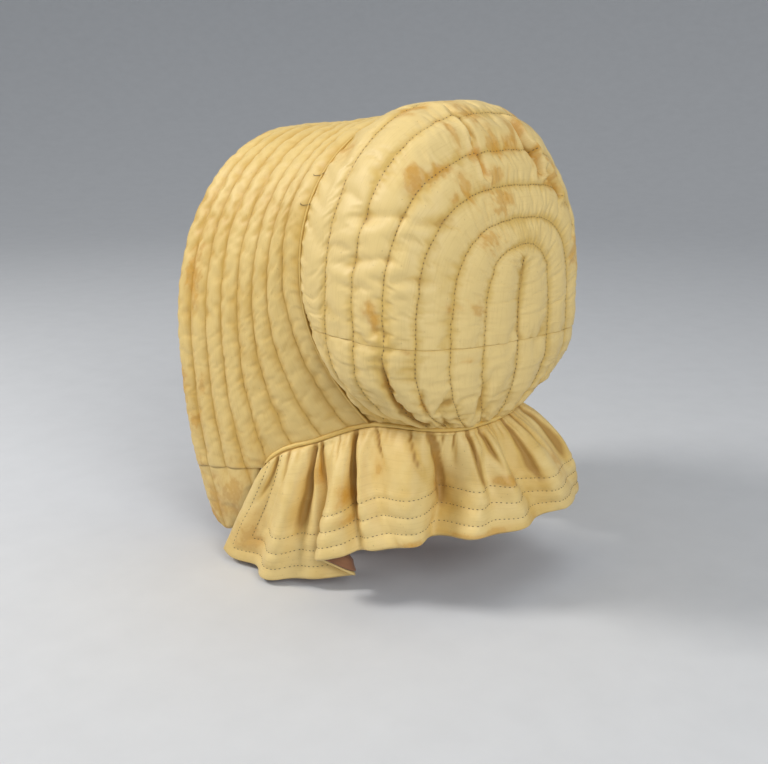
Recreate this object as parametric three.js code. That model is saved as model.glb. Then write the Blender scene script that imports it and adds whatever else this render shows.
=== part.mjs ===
// Quilted silk hood: a deep channel-quilted brim, a quilted crown gathered to it, and a gathered
// neck curtain (bavolet) with a lining. Millimetres, +Z up. The face opening looks toward -Y, the
// back of the head is +Y and the wearer's left is +X. The origin is the inner top of the crown,
// where the hood sits on the head.
import * as THREE from 'three';

// Driving sizes
const WALL = 4;              // padded wall of brim and crown, on a quilting line
const BRIM_RIB = 2.2;        // how far a brim channel puffs out between two quilting lines
const CROWN_RIB = 2;
const CORNER_RIB = 0.8;      // the brim corners are nearly smooth
const PUFF_POWER = 0.6;      // below 1 makes round pads with a sharp valley at each line
const FOOT_FLATTENING = 0.8; // share of the puff that the seam at the neck presses flat
const FLATTENING_TURN = 1.8; // turn at which that flattening sets in
const CLEARANCE = 0.35;      // between pieces that are sewn to each other
const CURTAIN_CLOTH = 1.6;   // two layers of silk with a thin wadding
const LINING_CLOTH = 0.9;
const LINING_ROOM = 0.7;     // between the curtain's cloth and its lining
const NECK_CORD = 1.6;       // radius of the piping cord round the neck
const NECK_ROOM = 0.8;       // between that cord and the edge of the walls above it
const NECK_CORD_OUT = 0.3;   // how far that cord lies outside the plain surface
const CROWN_CORD = 1;        // radius of the piping cord between brim and crown
const CROWN_CORD_SUNK = 0.2; // how deep that cord lies below the plain surface
const CROWN_CORD_REACH = 1.93; // turn at which that cord ends on both sides
const CROWN_CORD_ROOM = 0.5; // between that cord and the edges of the walls beside it
const CORD_SIDES = 6;

// Quilting lines, numbered back from the front edge of the brim. Line 8 is the seam between brim
// and crown, lines 9 to 14 are the U-shaped arcs of the crown and line 15 is the centre back.
// Each line is an arch over the head: it runs from its apex on the middle plane, through a side
// point where it is widest, to its foot.
const FRONT_LINE = 0;
const PIPING_LINE = 4;       // the neck piping and the curtain begin at the foot of this line
const SEAM_LINE = 8;
const BACK_LINE = 15;
const NECK_END = BACK_LINE - PIPING_LINE;   // station of the curtain's front ends
const LINES = [
  // line apexY apexZ sideX sideY sideZ footX footY footZ
  [0, -146, -19, 94, -163, -157, 78, -154, -299],
  [1, -131, -17, 95, -146, -154, 81, -135, -304],
  [2, -117, -15, 95, -130, -149, 84, -113, -289],
  [3, -102, -14, 95, -114, -143, 86, -96, -265],
  [4, -87, -13, 94, -98, -136, 86, -83, -236],
  [6, -57, -9, 93, -69, -116, 72, -43, -212],
  [8, -28, -4, 91, -40, -96, 57, -12, -199],
  [9, 0, 4, 95, -15, -124, 57, 4, -196],
  [10, 28, -2, 97, 10, -132, 54, 20, -195],
  [11, 46, -23, 96, 33, -132, 48, 32, -195],
  [12, 54, -44, 86, 50, -133, 38, 39, -196],
  [13, 59, -64, 63, 58, -135, 26, 43, -197],
  [14, 63, -80, 35, 62, -137, 13, 45, -197],
  [15, 66, -88, 0, 63, -138, 0, 46, -197],
];
const BRIM_FULLNESS = 2.2;   // exponent of the arch's upper half: 2 is an ellipse
const CROWN_FULLNESS = 2.9;
const BRIM_TUCK = 2;         // exponent of the lower half: higher stays full for longer
const CROWN_TUCK = 2.8;

// Level seams where the cloth was pieced
const CROWN_PIECING = [
  // station height
  [7, -132],
  [3, -133],
  [0, -141],
  [-3, -148],
  [-7, -151],
];
const CORNER_SEAM_FRONT_Z = -256;
const CORNER_SEAM_BACK_Z = -242;
const CORNER_END_LINE = 3.6;

// Main creases of the crown, as grooves from one point of the surface to another.
const CREASES = [
  // side line1 turn1 line2 turn2 halfWidth depth
  [0, 15, 0.1, 15, 0.95, 9, 2],
  [1, 8.6, 1.45, 10.4, 1.95, 6, 3.5],
  [1, 9.2, 0.18, 11.6, 0.3, 8, 3],
  [-1, 10.2, 0.35, 12.4, 0.55, 7, 3],
  [1, 12.6, 1.5, 12.4, 2, 6, 2.5],
  [-1, 13.4, 1.45, 13.2, 2, 6, 2.5],
];
const LINE_PITCH = 22;       // mean distance of two crown lines
const TURN_LENGTH = 140;     // mean length of an arch from apex to side

// The curtain: a row for each ridge, valley or fold of its hem. Station counts quilting lines
// along the neck from the centre back, positive on the wearer's left.
const CURTAIN = [
  // station hemX hemY hemZ puff
  [11, 98, -118, -308, 1],
  [10.75, 101, -106, -310, 2],
  [10.4, 97, -86, -311, -1],
  [9.7, 107, -62, -311, 5],
  [9.3, 95, -46, -309, -2],
  [9.05, 90, -30, -306, 2],
  [8.82, 74, -12, -303, 0],
  [8.7, 79, -8, -300, 1],
  [8.42, 97, -24, -287, 2],
  [8.28, 103, -18, -284, 3],
  [8.05, 96, -5, -280, 3],
  [7.7, 83, 0, -278, -2],
  [7.2, 82, 12, -275, 4],
  [6.5, 75, 21, -273, 1],
  [5, 69, 37, -269, 5],
  [2.6, 47, 46, -266, -6],
  [2, 45, 64, -264, 4],
  [1.4, 27, 71, -264, -3],
  [0.9, 9, 79, -264, 4],
  [0.4, -10, 75, -264, -2],
  [-1, -40, 81, -264, 7],
  [-2.4, -62, 73, -264, 5],
  [-3.4, -76, 65, -265, 9],
  [-4.5, -76, 44, -267, 1],
  [-5.5, -87, 30, -270, 4],
  [-6.5, -82, 12, -274, -1],
  [-7.4, -92, -4, -280, 2],
  [-8.1, -86, -22, -288, -1],
  [-8.7, -98, -38, -300, 4],
  [-9.4, -90, -56, -306, -3],
  [-10, -105, -72, -310, 4],
  [-10.5, -97, -92, -310, -1],
  [-11, -98, -118, -308, 1],
];
const OUT_POWER = 0.7;            // exponents of the way from neck to hem: outwards early,
const SWING_POWER = 1.8;          // sideways late,
const FRONT_SWING = 1;            // but evenly at the front ends
const FRONT_SWING_STATION = 9.6;
const CURTAIN_LIFT_FRONT = 4.6;   // the curtain's front ends lie over the brim's edge
const CURTAIN_LIFT_BACK = 0.6;
const CURTAIN_LIFT_STATION = 8.5; // station at which that lift sets in
const CURTAIN_SHARES = [0, 0.1, 0.3, 0.55, 0.8, 1];   // rows from the neck to the hem
const LINING_HEM = 0.97;          // the lining stops a little short of the hem

// Grid sizes
const ROWS_PER_LINE = 3;
const UPPER_COLUMNS = 9;
const LOWER_COLUMNS = 7;
const CROWN_COLUMNS = 13;
const CROWN_LOWER_ROWS = 4;
const CORNER_ROWS = 9;
const CORNER_COLUMNS = 5;
const CURTAIN_COLUMN = 9.5;    // width of a column at the hem
const NECK_CORD_STEPS = 48;
const NECK_CORD_POINTS = 44;
const CROWN_CORD_STEPS = 38;
const CROWN_CORD_POINTS = 40;

// Spans over which directions are measured
const SURFACE_STEP = 0.02;
const APEX_TURN = 0.2;         // the fold at the centre back is measured from here on
const NECK_STEP = 0.3;
const CURTAIN_STEP = 0.04;

// A smooth curve through the rows of a table, read in one column; column 0 holds the knots.
function readTable(table, column, knot) {
  const last = table.length - 1;
  const falling = table[last][0] < table[0][0];
  const before = (row) => (falling ? table[row][0] >= knot : table[row][0] <= knot);
  let i = 0;
  while (i < last - 1 && before(i + 1)) i += 1;
  const slope = (a, b) => (table[b][column] - table[a][column]) / (table[b][0] - table[a][0]);
  const tangent = (row) => {
    if (row === 0) return slope(0, 1);
    if (row === last) return slope(last - 1, last);
    const back = table[row][0] - table[row - 1][0];
    const ahead = table[row + 1][0] - table[row][0];
    return (slope(row - 1, row) * ahead + slope(row, row + 1) * back) / (back + ahead);
  };
  const span = table[i + 1][0] - table[i][0];
  const u = THREE.MathUtils.clamp((knot - table[i][0]) / span, 0, 1);
  const u2 = u * u;
  const u3 = u2 * u;
  return (2 * u3 - 3 * u2 + 1) * table[i][column] + (u3 - 2 * u2 + u) * span * tangent(i)
    + (3 * u2 - 2 * u3) * table[i + 1][column] + (u3 - u2) * span * tangent(i + 1);
}

// The sizes of one quilting line, whole or between two of them
function lineSizes(line) {
  const read = (column) => readTable(LINES, column, line);
  const [apexY, apexZ, sideX, sideY, sideZ, footX, footY, footZ] = [1, 2, 3, 4, 5, 6, 7, 8].map(read);
  return { apexY, apexZ, sideX, sideY, sideZ, footX, footY, footZ };
}

// A point of the plain surface. turn is 0 at the apex, 1 at the side point and 2 at the foot,
// negative on the wearer's right.
function plainPoint(line, turn) {
  const s = lineSizes(line);
  const side = Math.sign(turn);
  const t = Math.abs(turn);
  const blend = THREE.MathUtils.smoothstep(line, SEAM_LINE, SEAM_LINE + 2);
  const power = THREE.MathUtils.lerp(BRIM_FULLNESS, CROWN_FULLNESS, blend);
  const tuck = THREE.MathUtils.lerp(BRIM_TUCK, CROWN_TUCK, blend);
  if (t <= 1) {
    const angle = t * Math.PI / 2;
    const sin = Math.sin(angle);
    const cos = Math.max(Math.cos(angle), 0);
    const radius = (sin ** power + cos ** power) ** (-1 / power);
    const across = radius * sin;
    return new THREE.Vector3(
      side * s.sideX * across,
      s.apexY + (s.sideY - s.apexY) * across ** power,
      s.sideZ + (s.apexZ - s.sideZ) * radius * cos,
    );
  }
  const down = t - 1;
  return new THREE.Vector3(
    side * (s.sideX - (s.sideX - s.footX) * down ** tuck),
    s.sideY + (s.footY - s.sideY) * down ** tuck,
    s.sideZ - (s.sideZ - s.footZ) * down,
  );
}

// Directions along the lines, across them and out of the surface
function frameAt(line, turn) {
  const step = SURFACE_STEP;
  const l0 = Math.max(line - step, FRONT_LINE);
  const l1 = Math.min(line + step, BACK_LINE);
  const across = plainPoint(l1, turn).sub(plainPoint(l0, turn)).divideScalar(l1 - l0);
  const along = plainPoint(line, turn + step).sub(plainPoint(line, turn - step)).divideScalar(2 * step);
  if (Math.abs(line - BACK_LINE) < step) {
    const low = Math.max(Math.abs(turn), APEX_TURN);
    const down = plainPoint(line, low + step).sub(plainPoint(line, low - step));
    return { across, along, out: new THREE.Vector3(1, 0, 0).cross(down).normalize() };
  }
  return { across, along, out: along.clone().cross(across).normalize() };
}

// Depth of the creases at a point of the crown
function creaseDepth(line, turn) {
  let depth = 0;
  for (const [side, line1, turn1, line2, turn2, halfWidth, deep] of CREASES) {
    if (side && side !== Math.sign(turn)) continue;
    const px = line * LINE_PITCH;
    const py = Math.abs(turn) * TURN_LENGTH;
    const ax = line1 * LINE_PITCH;
    const ay = turn1 * TURN_LENGTH;
    const dx = line2 * LINE_PITCH - ax;
    const dy = turn2 * TURN_LENGTH - ay;
    const u = THREE.MathUtils.clamp(((px - ax) * dx + (py - ay) * dy) / (dx * dx + dy * dy), 0, 1);
    const distance = Math.hypot(px - ax - u * dx, py - ay - u * dy);
    depth += deep * Math.exp(-((distance / halfWidth) ** 2));
  }
  return depth;
}

function ribHeight(line, turn, rib) {
  const flat = FOOT_FLATTENING * THREE.MathUtils.smoothstep(Math.abs(turn), FLATTENING_TURN, 2);
  const puff = rib * (1 - flat) * Math.abs(Math.sin(Math.PI * line)) ** PUFF_POWER;
  return line > SEAM_LINE ? puff - creaseDepth(line, turn) : puff;
}

function wallPoints(line, turn, rib) {
  const point = plainPoint(line, turn);
  const { out } = frameAt(line, turn);
  const relief = ribHeight(line, turn, rib);
  return {
    outer: point.clone().addScaledVector(out, relief),
    inner: point.clone().addScaledVector(out, Math.min(relief, 0) - WALL),
  };
}

// A closed wall from two grids of points with the same rows and columns. With zipped set, the
// last row is folded in its middle and sewn to itself.
function closedWall(outer, inner, zipped = false) {
  const rows = outer.length;
  const columns = outer[0].length;
  const positions = [];
  const numbers = [outer, inner].map((grid) => grid.map((row, i) => row.map((point, j) => {
    const folded = zipped && i === rows - 1 && j > (columns - 1) / 2;
    if (folded) return null;
    positions.push(point.x, point.y, point.z);
    return positions.length / 3 - 1;
  })));
  const at = (layer, i, j) => numbers[layer][i][j] ?? numbers[layer][i][columns - 1 - j];
  const index = [];
  const quad = (a, b, c, d) => {
    index.push(a, b, c, a, c, d);
  };
  for (let i = 0; i < rows - 1; i += 1) {
    for (let j = 0; j < columns - 1; j += 1) {
      quad(at(0, i, j), at(0, i + 1, j), at(0, i + 1, j + 1), at(0, i, j + 1));
      quad(at(1, i, j), at(1, i, j + 1), at(1, i + 1, j + 1), at(1, i + 1, j));
    }
    quad(at(0, i, 0), at(1, i, 0), at(1, i + 1, 0), at(0, i + 1, 0));
    quad(at(0, i + 1, columns - 1), at(1, i + 1, columns - 1), at(1, i, columns - 1), at(0, i, columns - 1));
  }
  for (let j = 0; j < columns - 1; j += 1) {
    quad(at(0, 0, j + 1), at(1, 0, j + 1), at(1, 0, j), at(0, 0, j));
    if (!zipped) quad(at(0, rows - 1, j), at(1, rows - 1, j), at(1, rows - 1, j + 1), at(0, rows - 1, j + 1));
  }
  const geometry = new THREE.BufferGeometry();
  geometry.setAttribute('position', new THREE.Float32BufferAttribute(positions, 3));
  geometry.setIndex(index);
  if (signedVolume(positions, index) < 0) {
    for (let k = 0; k < index.length; k += 3) [index[k], index[k + 1]] = [index[k + 1], index[k]];
    geometry.setIndex(index);
  }
  geometry.computeVertexNormals();
  return geometry;
}

function signedVolume(positions, index) {
  const corner = (k) => new THREE.Vector3().fromArray(positions, 3 * index[k]);
  let volume = 0;
  for (let k = 0; k < index.length; k += 3) volume += corner(k).dot(corner(k + 1).cross(corner(k + 2)));
  return volume;
}

const steps = (from, to, count) => Array.from({ length: count + 1 }, (_, k) => from + (to - from) * k / count);

// Turn at which a line reaches a height, at its side point or below
function turnAtHeight(line, z) {
  const { sideZ, footZ } = lineSizes(line);
  return THREE.MathUtils.clamp(1 + (sideZ - z) / (sideZ - footZ), 1, 2);
}

function cornerSeamZ(line) {
  return THREE.MathUtils.lerp(CORNER_SEAM_FRONT_Z, CORNER_SEAM_BACK_Z, line / CORNER_END_LINE);
}

function crownPiecingTurn(line, side) {
  return turnAtHeight(line, readTable(CROWN_PIECING, 1, side * (BACK_LINE - line)));
}

// Moves a turn by a distance along its line
function shiftTurn(line, turn, distance) {
  return turn + distance / frameAt(line, turn).along.length();
}

// Stops a wall short of the piping between brim and crown
function seamEdgeLine(turn, direction) {
  const room = CROWN_CORD + CROWN_CORD_ROOM;
  return SEAM_LINE + direction * room / frameAt(SEAM_LINE + direction * SURFACE_STEP, turn).across.length();
}

// Turns of the columns of a whole arch, from the wearer's right to the left, ending at lowest
function archTurns(lowest) {
  const half = [...steps(0, 1, UPPER_COLUMNS), ...steps(1, lowest, LOWER_COLUMNS).slice(1)];
  return [...half.slice(1).reverse().map((t) => -t), ...half];
}

function brimBand() {
  const lines = steps(FRONT_LINE, SEAM_LINE, (SEAM_LINE - FRONT_LINE) * ROWS_PER_LINE);
  const grids = lines.map((line, row) => {
    const seamTurn = turnAtHeight(line, cornerSeamZ(line));
    const lowest = seamTurn < 2 ? shiftTurn(line, seamTurn, -CLEARANCE / 2) : 2;
    return archTurns(lowest).map((turn) => {
      const isLast = row === lines.length - 1;
      return wallPoints(isLast ? seamEdgeLine(turn, -1) : line, turn, BRIM_RIB);
    });
  });
  return closedWall(grids.map((r) => r.map((p) => p.outer)), grids.map((r) => r.map((p) => p.inner)));
}

function brimCorner(side) {
  const lines = steps(FRONT_LINE, CORNER_END_LINE, CORNER_ROWS);
  const grids = lines.map((line) => {
    const top = shiftTurn(line, turnAtHeight(line, cornerSeamZ(line)), CLEARANCE / 2);
    return steps(top, 2, CORNER_COLUMNS).map((turn) => wallPoints(line, side * turn, CORNER_RIB));
  });
  return closedWall(grids.map((r) => r.map((p) => p.outer)), grids.map((r) => r.map((p) => p.inner)));
}

function crownUpper() {
  const lines = steps(SEAM_LINE, BACK_LINE, (BACK_LINE - SEAM_LINE) * ROWS_PER_LINE);
  const grids = lines.map((line, row) => {
    const [right, left] = [-1, 1].map((side) => shiftTurn(line, crownPiecingTurn(line, side), -CLEARANCE / 2));
    const turns = [...steps(-right, 0, CROWN_COLUMNS), ...steps(0, left, CROWN_COLUMNS).slice(1)];
    return turns.map((turn) => wallPoints(row === 0 ? seamEdgeLine(turn, 1) : line, turn, CROWN_RIB));
  });
  return closedWall(grids.map((r) => r.map((p) => p.outer)), grids.map((r) => r.map((p) => p.inner)), true);
}

function crownLower() {
  const count = (BACK_LINE - SEAM_LINE) * ROWS_PER_LINE;
  const stations = steps(BACK_LINE - SEAM_LINE, SEAM_LINE - BACK_LINE, 2 * count);
  const grids = stations.map((station, row) => {
    const line = BACK_LINE - Math.abs(station);
    const side = station >= 0 ? 1 : -1;
    const top = shiftTurn(line, crownPiecingTurn(line, side), CLEARANCE / 2);
    const isEdge = row === 0 || row === stations.length - 1;
    return steps(top, 2, CROWN_LOWER_ROWS).map((turn) => (
      wallPoints(isEdge ? seamEdgeLine(side * turn, 1) : line, side * turn, CROWN_RIB)
    ));
  });
  return closedWall(grids.map((r) => r.map((p) => p.outer)), grids.map((r) => r.map((p) => p.inner)));
}

// A cord of round section along a list of points
function cord(points, radius, stepCount) {
  const section = new THREE.Shape(steps(0, CORD_SIDES - 1, CORD_SIDES - 1).map((k) => {
    const angle = 2 * Math.PI * k / CORD_SIDES;
    return new THREE.Vector2(radius * Math.cos(angle), radius * Math.sin(angle));
  }));
  const path = new THREE.CatmullRomCurve3(points);
  return new THREE.ExtrudeGeometry(section, { steps: stepCount, bevelEnabled: false, extrudePath: path });
}

// Centre of the neck piping at a station along the neck
function neckCordPoint(station) {
  const line = BACK_LINE - Math.abs(station);
  const turn = station >= 0 ? 2 : -2;
  const { along, out } = frameAt(line, turn);
  const down = along.clone().normalize();
  if (down.z > 0) down.negate();
  return plainPoint(line, turn).addScaledVector(down, NECK_CORD + NECK_ROOM).addScaledVector(out, NECK_CORD_OUT);
}

function neckPiping() {
  return cord(steps(NECK_END, -NECK_END, NECK_CORD_POINTS).map(neckCordPoint), NECK_CORD, NECK_CORD_STEPS);
}

function crownPiping() {
  const points = steps(CROWN_CORD_REACH, -CROWN_CORD_REACH, CROWN_CORD_POINTS).map((turn) => (
    plainPoint(SEAM_LINE, turn).addScaledVector(frameAt(SEAM_LINE, turn).out, -CROWN_CORD_SUNK)
  ));
  return cord(points, CROWN_CORD, CROWN_CORD_STEPS);
}

// Where the curtain is sewn on, and its outward and sideways directions in plan
function curtainTop(station) {
  const a = neckCordPoint(Math.min(station + NECK_STEP, NECK_END));
  const b = neckCordPoint(Math.max(station - NECK_STEP, -NECK_END));
  const sideways = b.sub(a).setZ(0).normalize();
  const outward = new THREE.Vector3(0, 0, 1).cross(sideways).negate();
  const front = THREE.MathUtils.smoothstep(Math.abs(station), CURTAIN_LIFT_STATION, NECK_END);
  const lift = THREE.MathUtils.lerp(CURTAIN_LIFT_BACK, CURTAIN_LIFT_FRONT, front);
  const top = neckCordPoint(station).addScaledVector(outward, lift);
  top.z -= NECK_CORD + NECK_ROOM;
  return { top, sideways, outward };
}

// A point of the curtain's middle surface. share is 0 at the neck and 1 at the hem. The folds
// swing sideways late and outward early, so that a pleat opens before it laps over.
function curtainPoint(station, share) {
  const { top, sideways, outward } = curtainTop(station);
  const hem = new THREE.Vector3(...[1, 2, 3].map((column) => readTable(CURTAIN, column, station)));
  const puff = readTable(CURTAIN, 4, station);
  const drop = hem.clone().sub(top);
  const out = drop.dot(outward) * share ** OUT_POWER + puff * Math.sin(Math.PI * share);
  const front = THREE.MathUtils.smoothstep(Math.abs(station), FRONT_SWING_STATION, NECK_END);
  const along = drop.dot(sideways) * share ** THREE.MathUtils.lerp(SWING_POWER, FRONT_SWING, front);
  return top.addScaledVector(outward, out).addScaledVector(sideways, along)
    .add(new THREE.Vector3(0, 0, drop.z * share));
}

function curtainOut(station, share) {
  const s0 = Math.min(station + CURTAIN_STEP, NECK_END);
  const s1 = Math.max(station - CURTAIN_STEP, -NECK_END);
  const v0 = Math.max(share - CURTAIN_STEP, 0);
  const v1 = Math.min(share + CURTAIN_STEP, 1);
  const across = curtainPoint(s1, share).sub(curtainPoint(s0, share));
  const down = curtainPoint(station, v1).sub(curtainPoint(station, v0));
  return down.cross(across).normalize();
}

// Stations of the columns: each fold of the table, and equal parts between two of them
function curtainStations() {
  const stations = [CURTAIN[0][0]];
  for (let row = 1; row < CURTAIN.length; row += 1) {
    const [from, ...hemFrom] = CURTAIN[row - 1];
    const [to, ...hemTo] = CURTAIN[row];
    const length = Math.hypot(...[0, 1, 2].map((k) => hemTo[k] - hemFrom[k]));
    stations.push(...steps(from, to, Math.max(1, Math.round(length / CURTAIN_COLUMN))).slice(1));
  }
  return stations;
}

function curtainSheet(shares, outside, inside) {
  const stations = curtainStations();
  const layer = (offset) => stations.map((station) => shares.map((share) => (
    curtainPoint(station, share).addScaledVector(curtainOut(station, share), offset)
  )));
  return closedWall(layer(outside), layer(inside));
}

function bavolet() {
  return curtainSheet(CURTAIN_SHARES, CURTAIN_CLOTH / 2, -CURTAIN_CLOTH / 2);
}

function bavoletLining() {
  const outside = -CURTAIN_CLOTH / 2 - LINING_ROOM;
  const shares = [...CURTAIN_SHARES.slice(1, -1), LINING_HEM];
  return curtainSheet(shares, outside, outside - LINING_CLOTH);
}

function piece(name, geometry, color, roughness) {
  const material = new THREE.MeshStandardMaterial({ color, roughness, metalness: 0 });
  const mesh = new THREE.Mesh(geometry, material);
  mesh.name = name;
  return mesh;
}

const SILK = 0xd8b968;
const SILK_PIPING = 0xd9b65a;
const LINING_BROWN = 0x9a6b48;
const hood = new THREE.Group();
hood.add(
  piece('brim_band', brimBand(), SILK, 0.55),
  piece('brim_corner_left', brimCorner(1), SILK, 0.55),
  piece('brim_corner_right', brimCorner(-1), SILK, 0.55),
  piece('crown_upper', crownUpper(), SILK, 0.55),
  piece('crown_lower', crownLower(), SILK, 0.55),
  piece('crown_piping', crownPiping(), SILK_PIPING, 0.5),
  piece('neck_piping', neckPiping(), SILK_PIPING, 0.5),
  piece('bavolet', bavolet(), SILK, 0.5),
  piece('bavolet_lining', bavoletLining(), LINING_BROWN, 0.8),
);

export default hood;
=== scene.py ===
# %% [markdown]
# # A quilted silk hood
# The real thing is a soft hood of straw-gold silk. Two layers of silk hold a thin sheet of wadding,
# and rows of running stitch sew the three together, so the cloth puffs up between the rows. A deep
# brim frames the face, a crown is gathered to it, and a loose curtain hangs from the neck.
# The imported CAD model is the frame. Each of its solids gets a finer piece here, worked out with
# numpy from the same few tables, so that both always agree on where a seam or a fold lies.

import bmesh
import bpy
import numpy as np
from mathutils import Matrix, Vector


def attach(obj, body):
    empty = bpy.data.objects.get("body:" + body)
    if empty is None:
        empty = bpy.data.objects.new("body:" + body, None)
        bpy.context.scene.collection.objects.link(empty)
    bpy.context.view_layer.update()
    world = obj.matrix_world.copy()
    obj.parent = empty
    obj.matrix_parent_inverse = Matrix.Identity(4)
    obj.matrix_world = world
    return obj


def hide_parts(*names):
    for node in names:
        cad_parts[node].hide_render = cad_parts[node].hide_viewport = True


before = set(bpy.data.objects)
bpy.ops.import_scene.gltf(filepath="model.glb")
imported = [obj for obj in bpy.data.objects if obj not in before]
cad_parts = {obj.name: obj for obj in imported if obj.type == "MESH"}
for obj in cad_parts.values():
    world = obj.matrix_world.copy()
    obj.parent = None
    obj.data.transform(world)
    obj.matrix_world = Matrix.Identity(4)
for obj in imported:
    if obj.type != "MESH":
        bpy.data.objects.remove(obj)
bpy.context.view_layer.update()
MM = 0.001
print("CAD nodes:", ", ".join(sorted(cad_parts)))

# %% [markdown]
# ## The pattern of quilting lines
# A tailor would describe this hood by its rows of stitching, and so does this lesson. Line 0 is the
# front edge of the brim, line 8 the seam between brim and crown, lines 9 to 14 the U-shaped arcs of
# the crown and line 15 the centre back. Each line is an arch over the head, given by three points:
# its apex, its widest side point and its foot at the neck. Whatever lies between two lines is read
# from a smooth curve through the table, so fourteen rows describe the whole double-curved surface.

# %% Tables of the brim and the crown
SEAM_LINE, BACK_LINE, NECK_LINE = 8, 15, 4
LINES = np.array([
    # line apexY apexZ sideX sideY sideZ footX footY footZ
    [0, -146, -19, 94, -163, -157, 78, -154, -299],
    [1, -131, -17, 95, -146, -154, 81, -135, -304],
    [2, -117, -15, 95, -130, -149, 84, -113, -289],
    [3, -102, -14, 95, -114, -143, 86, -96, -265],
    [4, -87, -13, 94, -98, -136, 86, -83, -236],
    [6, -57, -9, 93, -69, -116, 72, -43, -212],
    [8, -28, -4, 91, -40, -96, 57, -12, -199],
    [9, 0, 4, 95, -15, -124, 57, 4, -196],
    [10, 28, -2, 97, 10, -132, 54, 20, -195],
    [11, 46, -23, 96, 33, -132, 48, 32, -195],
    [12, 54, -44, 86, 50, -133, 38, 39, -196],
    [13, 59, -64, 63, 58, -135, 26, 43, -197],
    [14, 63, -80, 35, 62, -137, 13, 45, -197],
    [15, 66, -88, 0, 63, -138, 0, 46, -197],
], float)
LINES[:, 1:] *= MM
CROWN_PIECING = np.array([
    # station height
    [7, -132], [3, -133], [0, -141], [-3, -148], [-7, -151],
], float)
CROWN_PIECING[:, 1] *= MM
CORNER_SEAM_Z = (-256 * MM, -242 * MM)
CORNER_END_LINE = 3.6
BRIM_FULLNESS, CROWN_FULLNESS = 2.2, 2.9
BRIM_TUCK, CROWN_TUCK = 2.0, 2.8
WALL, THINNEST = 4 * MM, 0.02 * MM


def read_table(table, column, knot):
    """Reads a column at any knot: a cubic Hermite curve through the rows. The tangent at a row is
    the mean of the slopes beside it, and the slope over the shorter gap counts for more."""
    x, y = table[:, 0], table[:, column]
    gap = np.diff(x)
    slope = np.diff(y) / gap
    tangent = np.concatenate([
        slope[:1],
        (slope[:-1] * gap[1:] + slope[1:] * gap[:-1]) / (gap[:-1] + gap[1:]),
        slope[-1:],
    ])
    way = np.sign(x[-1] - x[0])
    i = np.clip(np.searchsorted(way * x, way * np.asarray(knot, float), side="right") - 1, 0, len(x) - 2)
    span = x[i + 1] - x[i]
    u = np.clip((knot - x[i]) / span, 0, 1)
    rise = u * u * (3 - 2 * u)
    leave = u * (1 - u) ** 2
    arrive = u * u * (u - 1)
    return y[i] + rise * (y[i + 1] - y[i]) + span * (leave * tangent[i] + arrive * tangent[i + 1])


def smooth(low, high, value):
    """0 below low, 1 above high, and 3s² − 2s³ of the share s between them."""
    s = np.clip((value - low) / (high - low), 0, 1)
    return s * s * (3 - 2 * s)


def unit(vectors):
    """Each vector divided by its length."""
    return vectors / np.maximum(np.linalg.norm(vectors, axis=-1, keepdims=True), 1e-12)


def plain_point(line, turn):
    """The hood's plain surface. turn is 0 at the apex, ±1 at the side points and ±2 at the feet.
    The upper half of a line is a superellipse from apex to side point. In the lower half, height
    falls evenly while x and y leave the side point with a power of the way down."""
    line, turn = np.broadcast_arrays(np.asarray(line, float), np.asarray(turn, float))
    apex_y, apex_z, side_x, side_y, side_z, foot_x, foot_y, foot_z = (
        read_table(LINES, column, line) for column in range(1, 9))
    blend = smooth(SEAM_LINE, SEAM_LINE + 2, line)
    power = BRIM_FULLNESS + (CROWN_FULLNESS - BRIM_FULLNESS) * blend
    tuck = BRIM_TUCK + (CROWN_TUCK - BRIM_TUCK) * blend
    side, t = np.sign(turn), np.abs(turn)
    sine = np.sin(np.minimum(t, 1) * np.pi / 2)
    cosine = np.maximum(np.cos(np.minimum(t, 1) * np.pi / 2), 0)
    radius = (sine ** power + cosine ** power) ** (-1 / power)
    across = radius * sine
    upper = np.stack([
        side * side_x * across,
        apex_y + (side_y - apex_y) * across ** power,
        side_z + (apex_z - side_z) * radius * cosine,
    ], -1)
    down = np.maximum(t - 1, 0)
    lower = np.stack([
        side * (side_x - (side_x - foot_x) * down ** tuck),
        side_y + (foot_y - side_y) * down ** tuck,
        side_z - (side_z - foot_z) * down,
    ], -1)
    return np.where((t <= 1)[..., None], upper, lower)


def directions(line, turn):
    """Central differences of the plain surface: across the lines, along them, and out, which is
    along × across. On the centre back, out is the X axis × the way down."""
    step = 0.02
    line, turn = np.broadcast_arrays(np.asarray(line, float), np.asarray(turn, float))
    low, high = np.maximum(line - step, 0), np.minimum(line + step, BACK_LINE)
    across = (plain_point(high, turn) - plain_point(low, turn)) / (high - low)[..., None]
    along = (plain_point(line, turn + step) - plain_point(line, turn - step)) / (2 * step)
    out = unit(np.cross(along, across))
    low_turn = np.maximum(np.abs(turn), 0.2)
    down = plain_point(line, low_turn + step) - plain_point(line, low_turn - step)
    back = unit(np.cross([1.0, 0.0, 0.0], down))
    at_back = smooth(BACK_LINE - 0.5, BACK_LINE, line)[..., None]
    return across, along, unit(out + (back - out) * at_back)


def turn_at_height(line, height):
    """The turn at which a line comes down to a height, at its side point or below it."""
    side_z, foot_z = read_table(LINES, 5, line), read_table(LINES, 8, line)
    return np.clip(1 + (side_z - height) / (side_z - foot_z), 1, 2)


probe = plain_point([0, 8, 15], [0, 1, 2])
print("front apex, seam side and centre back foot in mm:", (probe / MM).round().tolist())

# %% [markdown]
# ## Chance, but the same every time
# Hand sewing is never even. Value noise gives the unevenness: a fixed number for each whole
# coordinate, worked out by mixing its bits, and a smooth blend between them. Nothing is drawn from a
# random generator, so each run gives the same hood.

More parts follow.
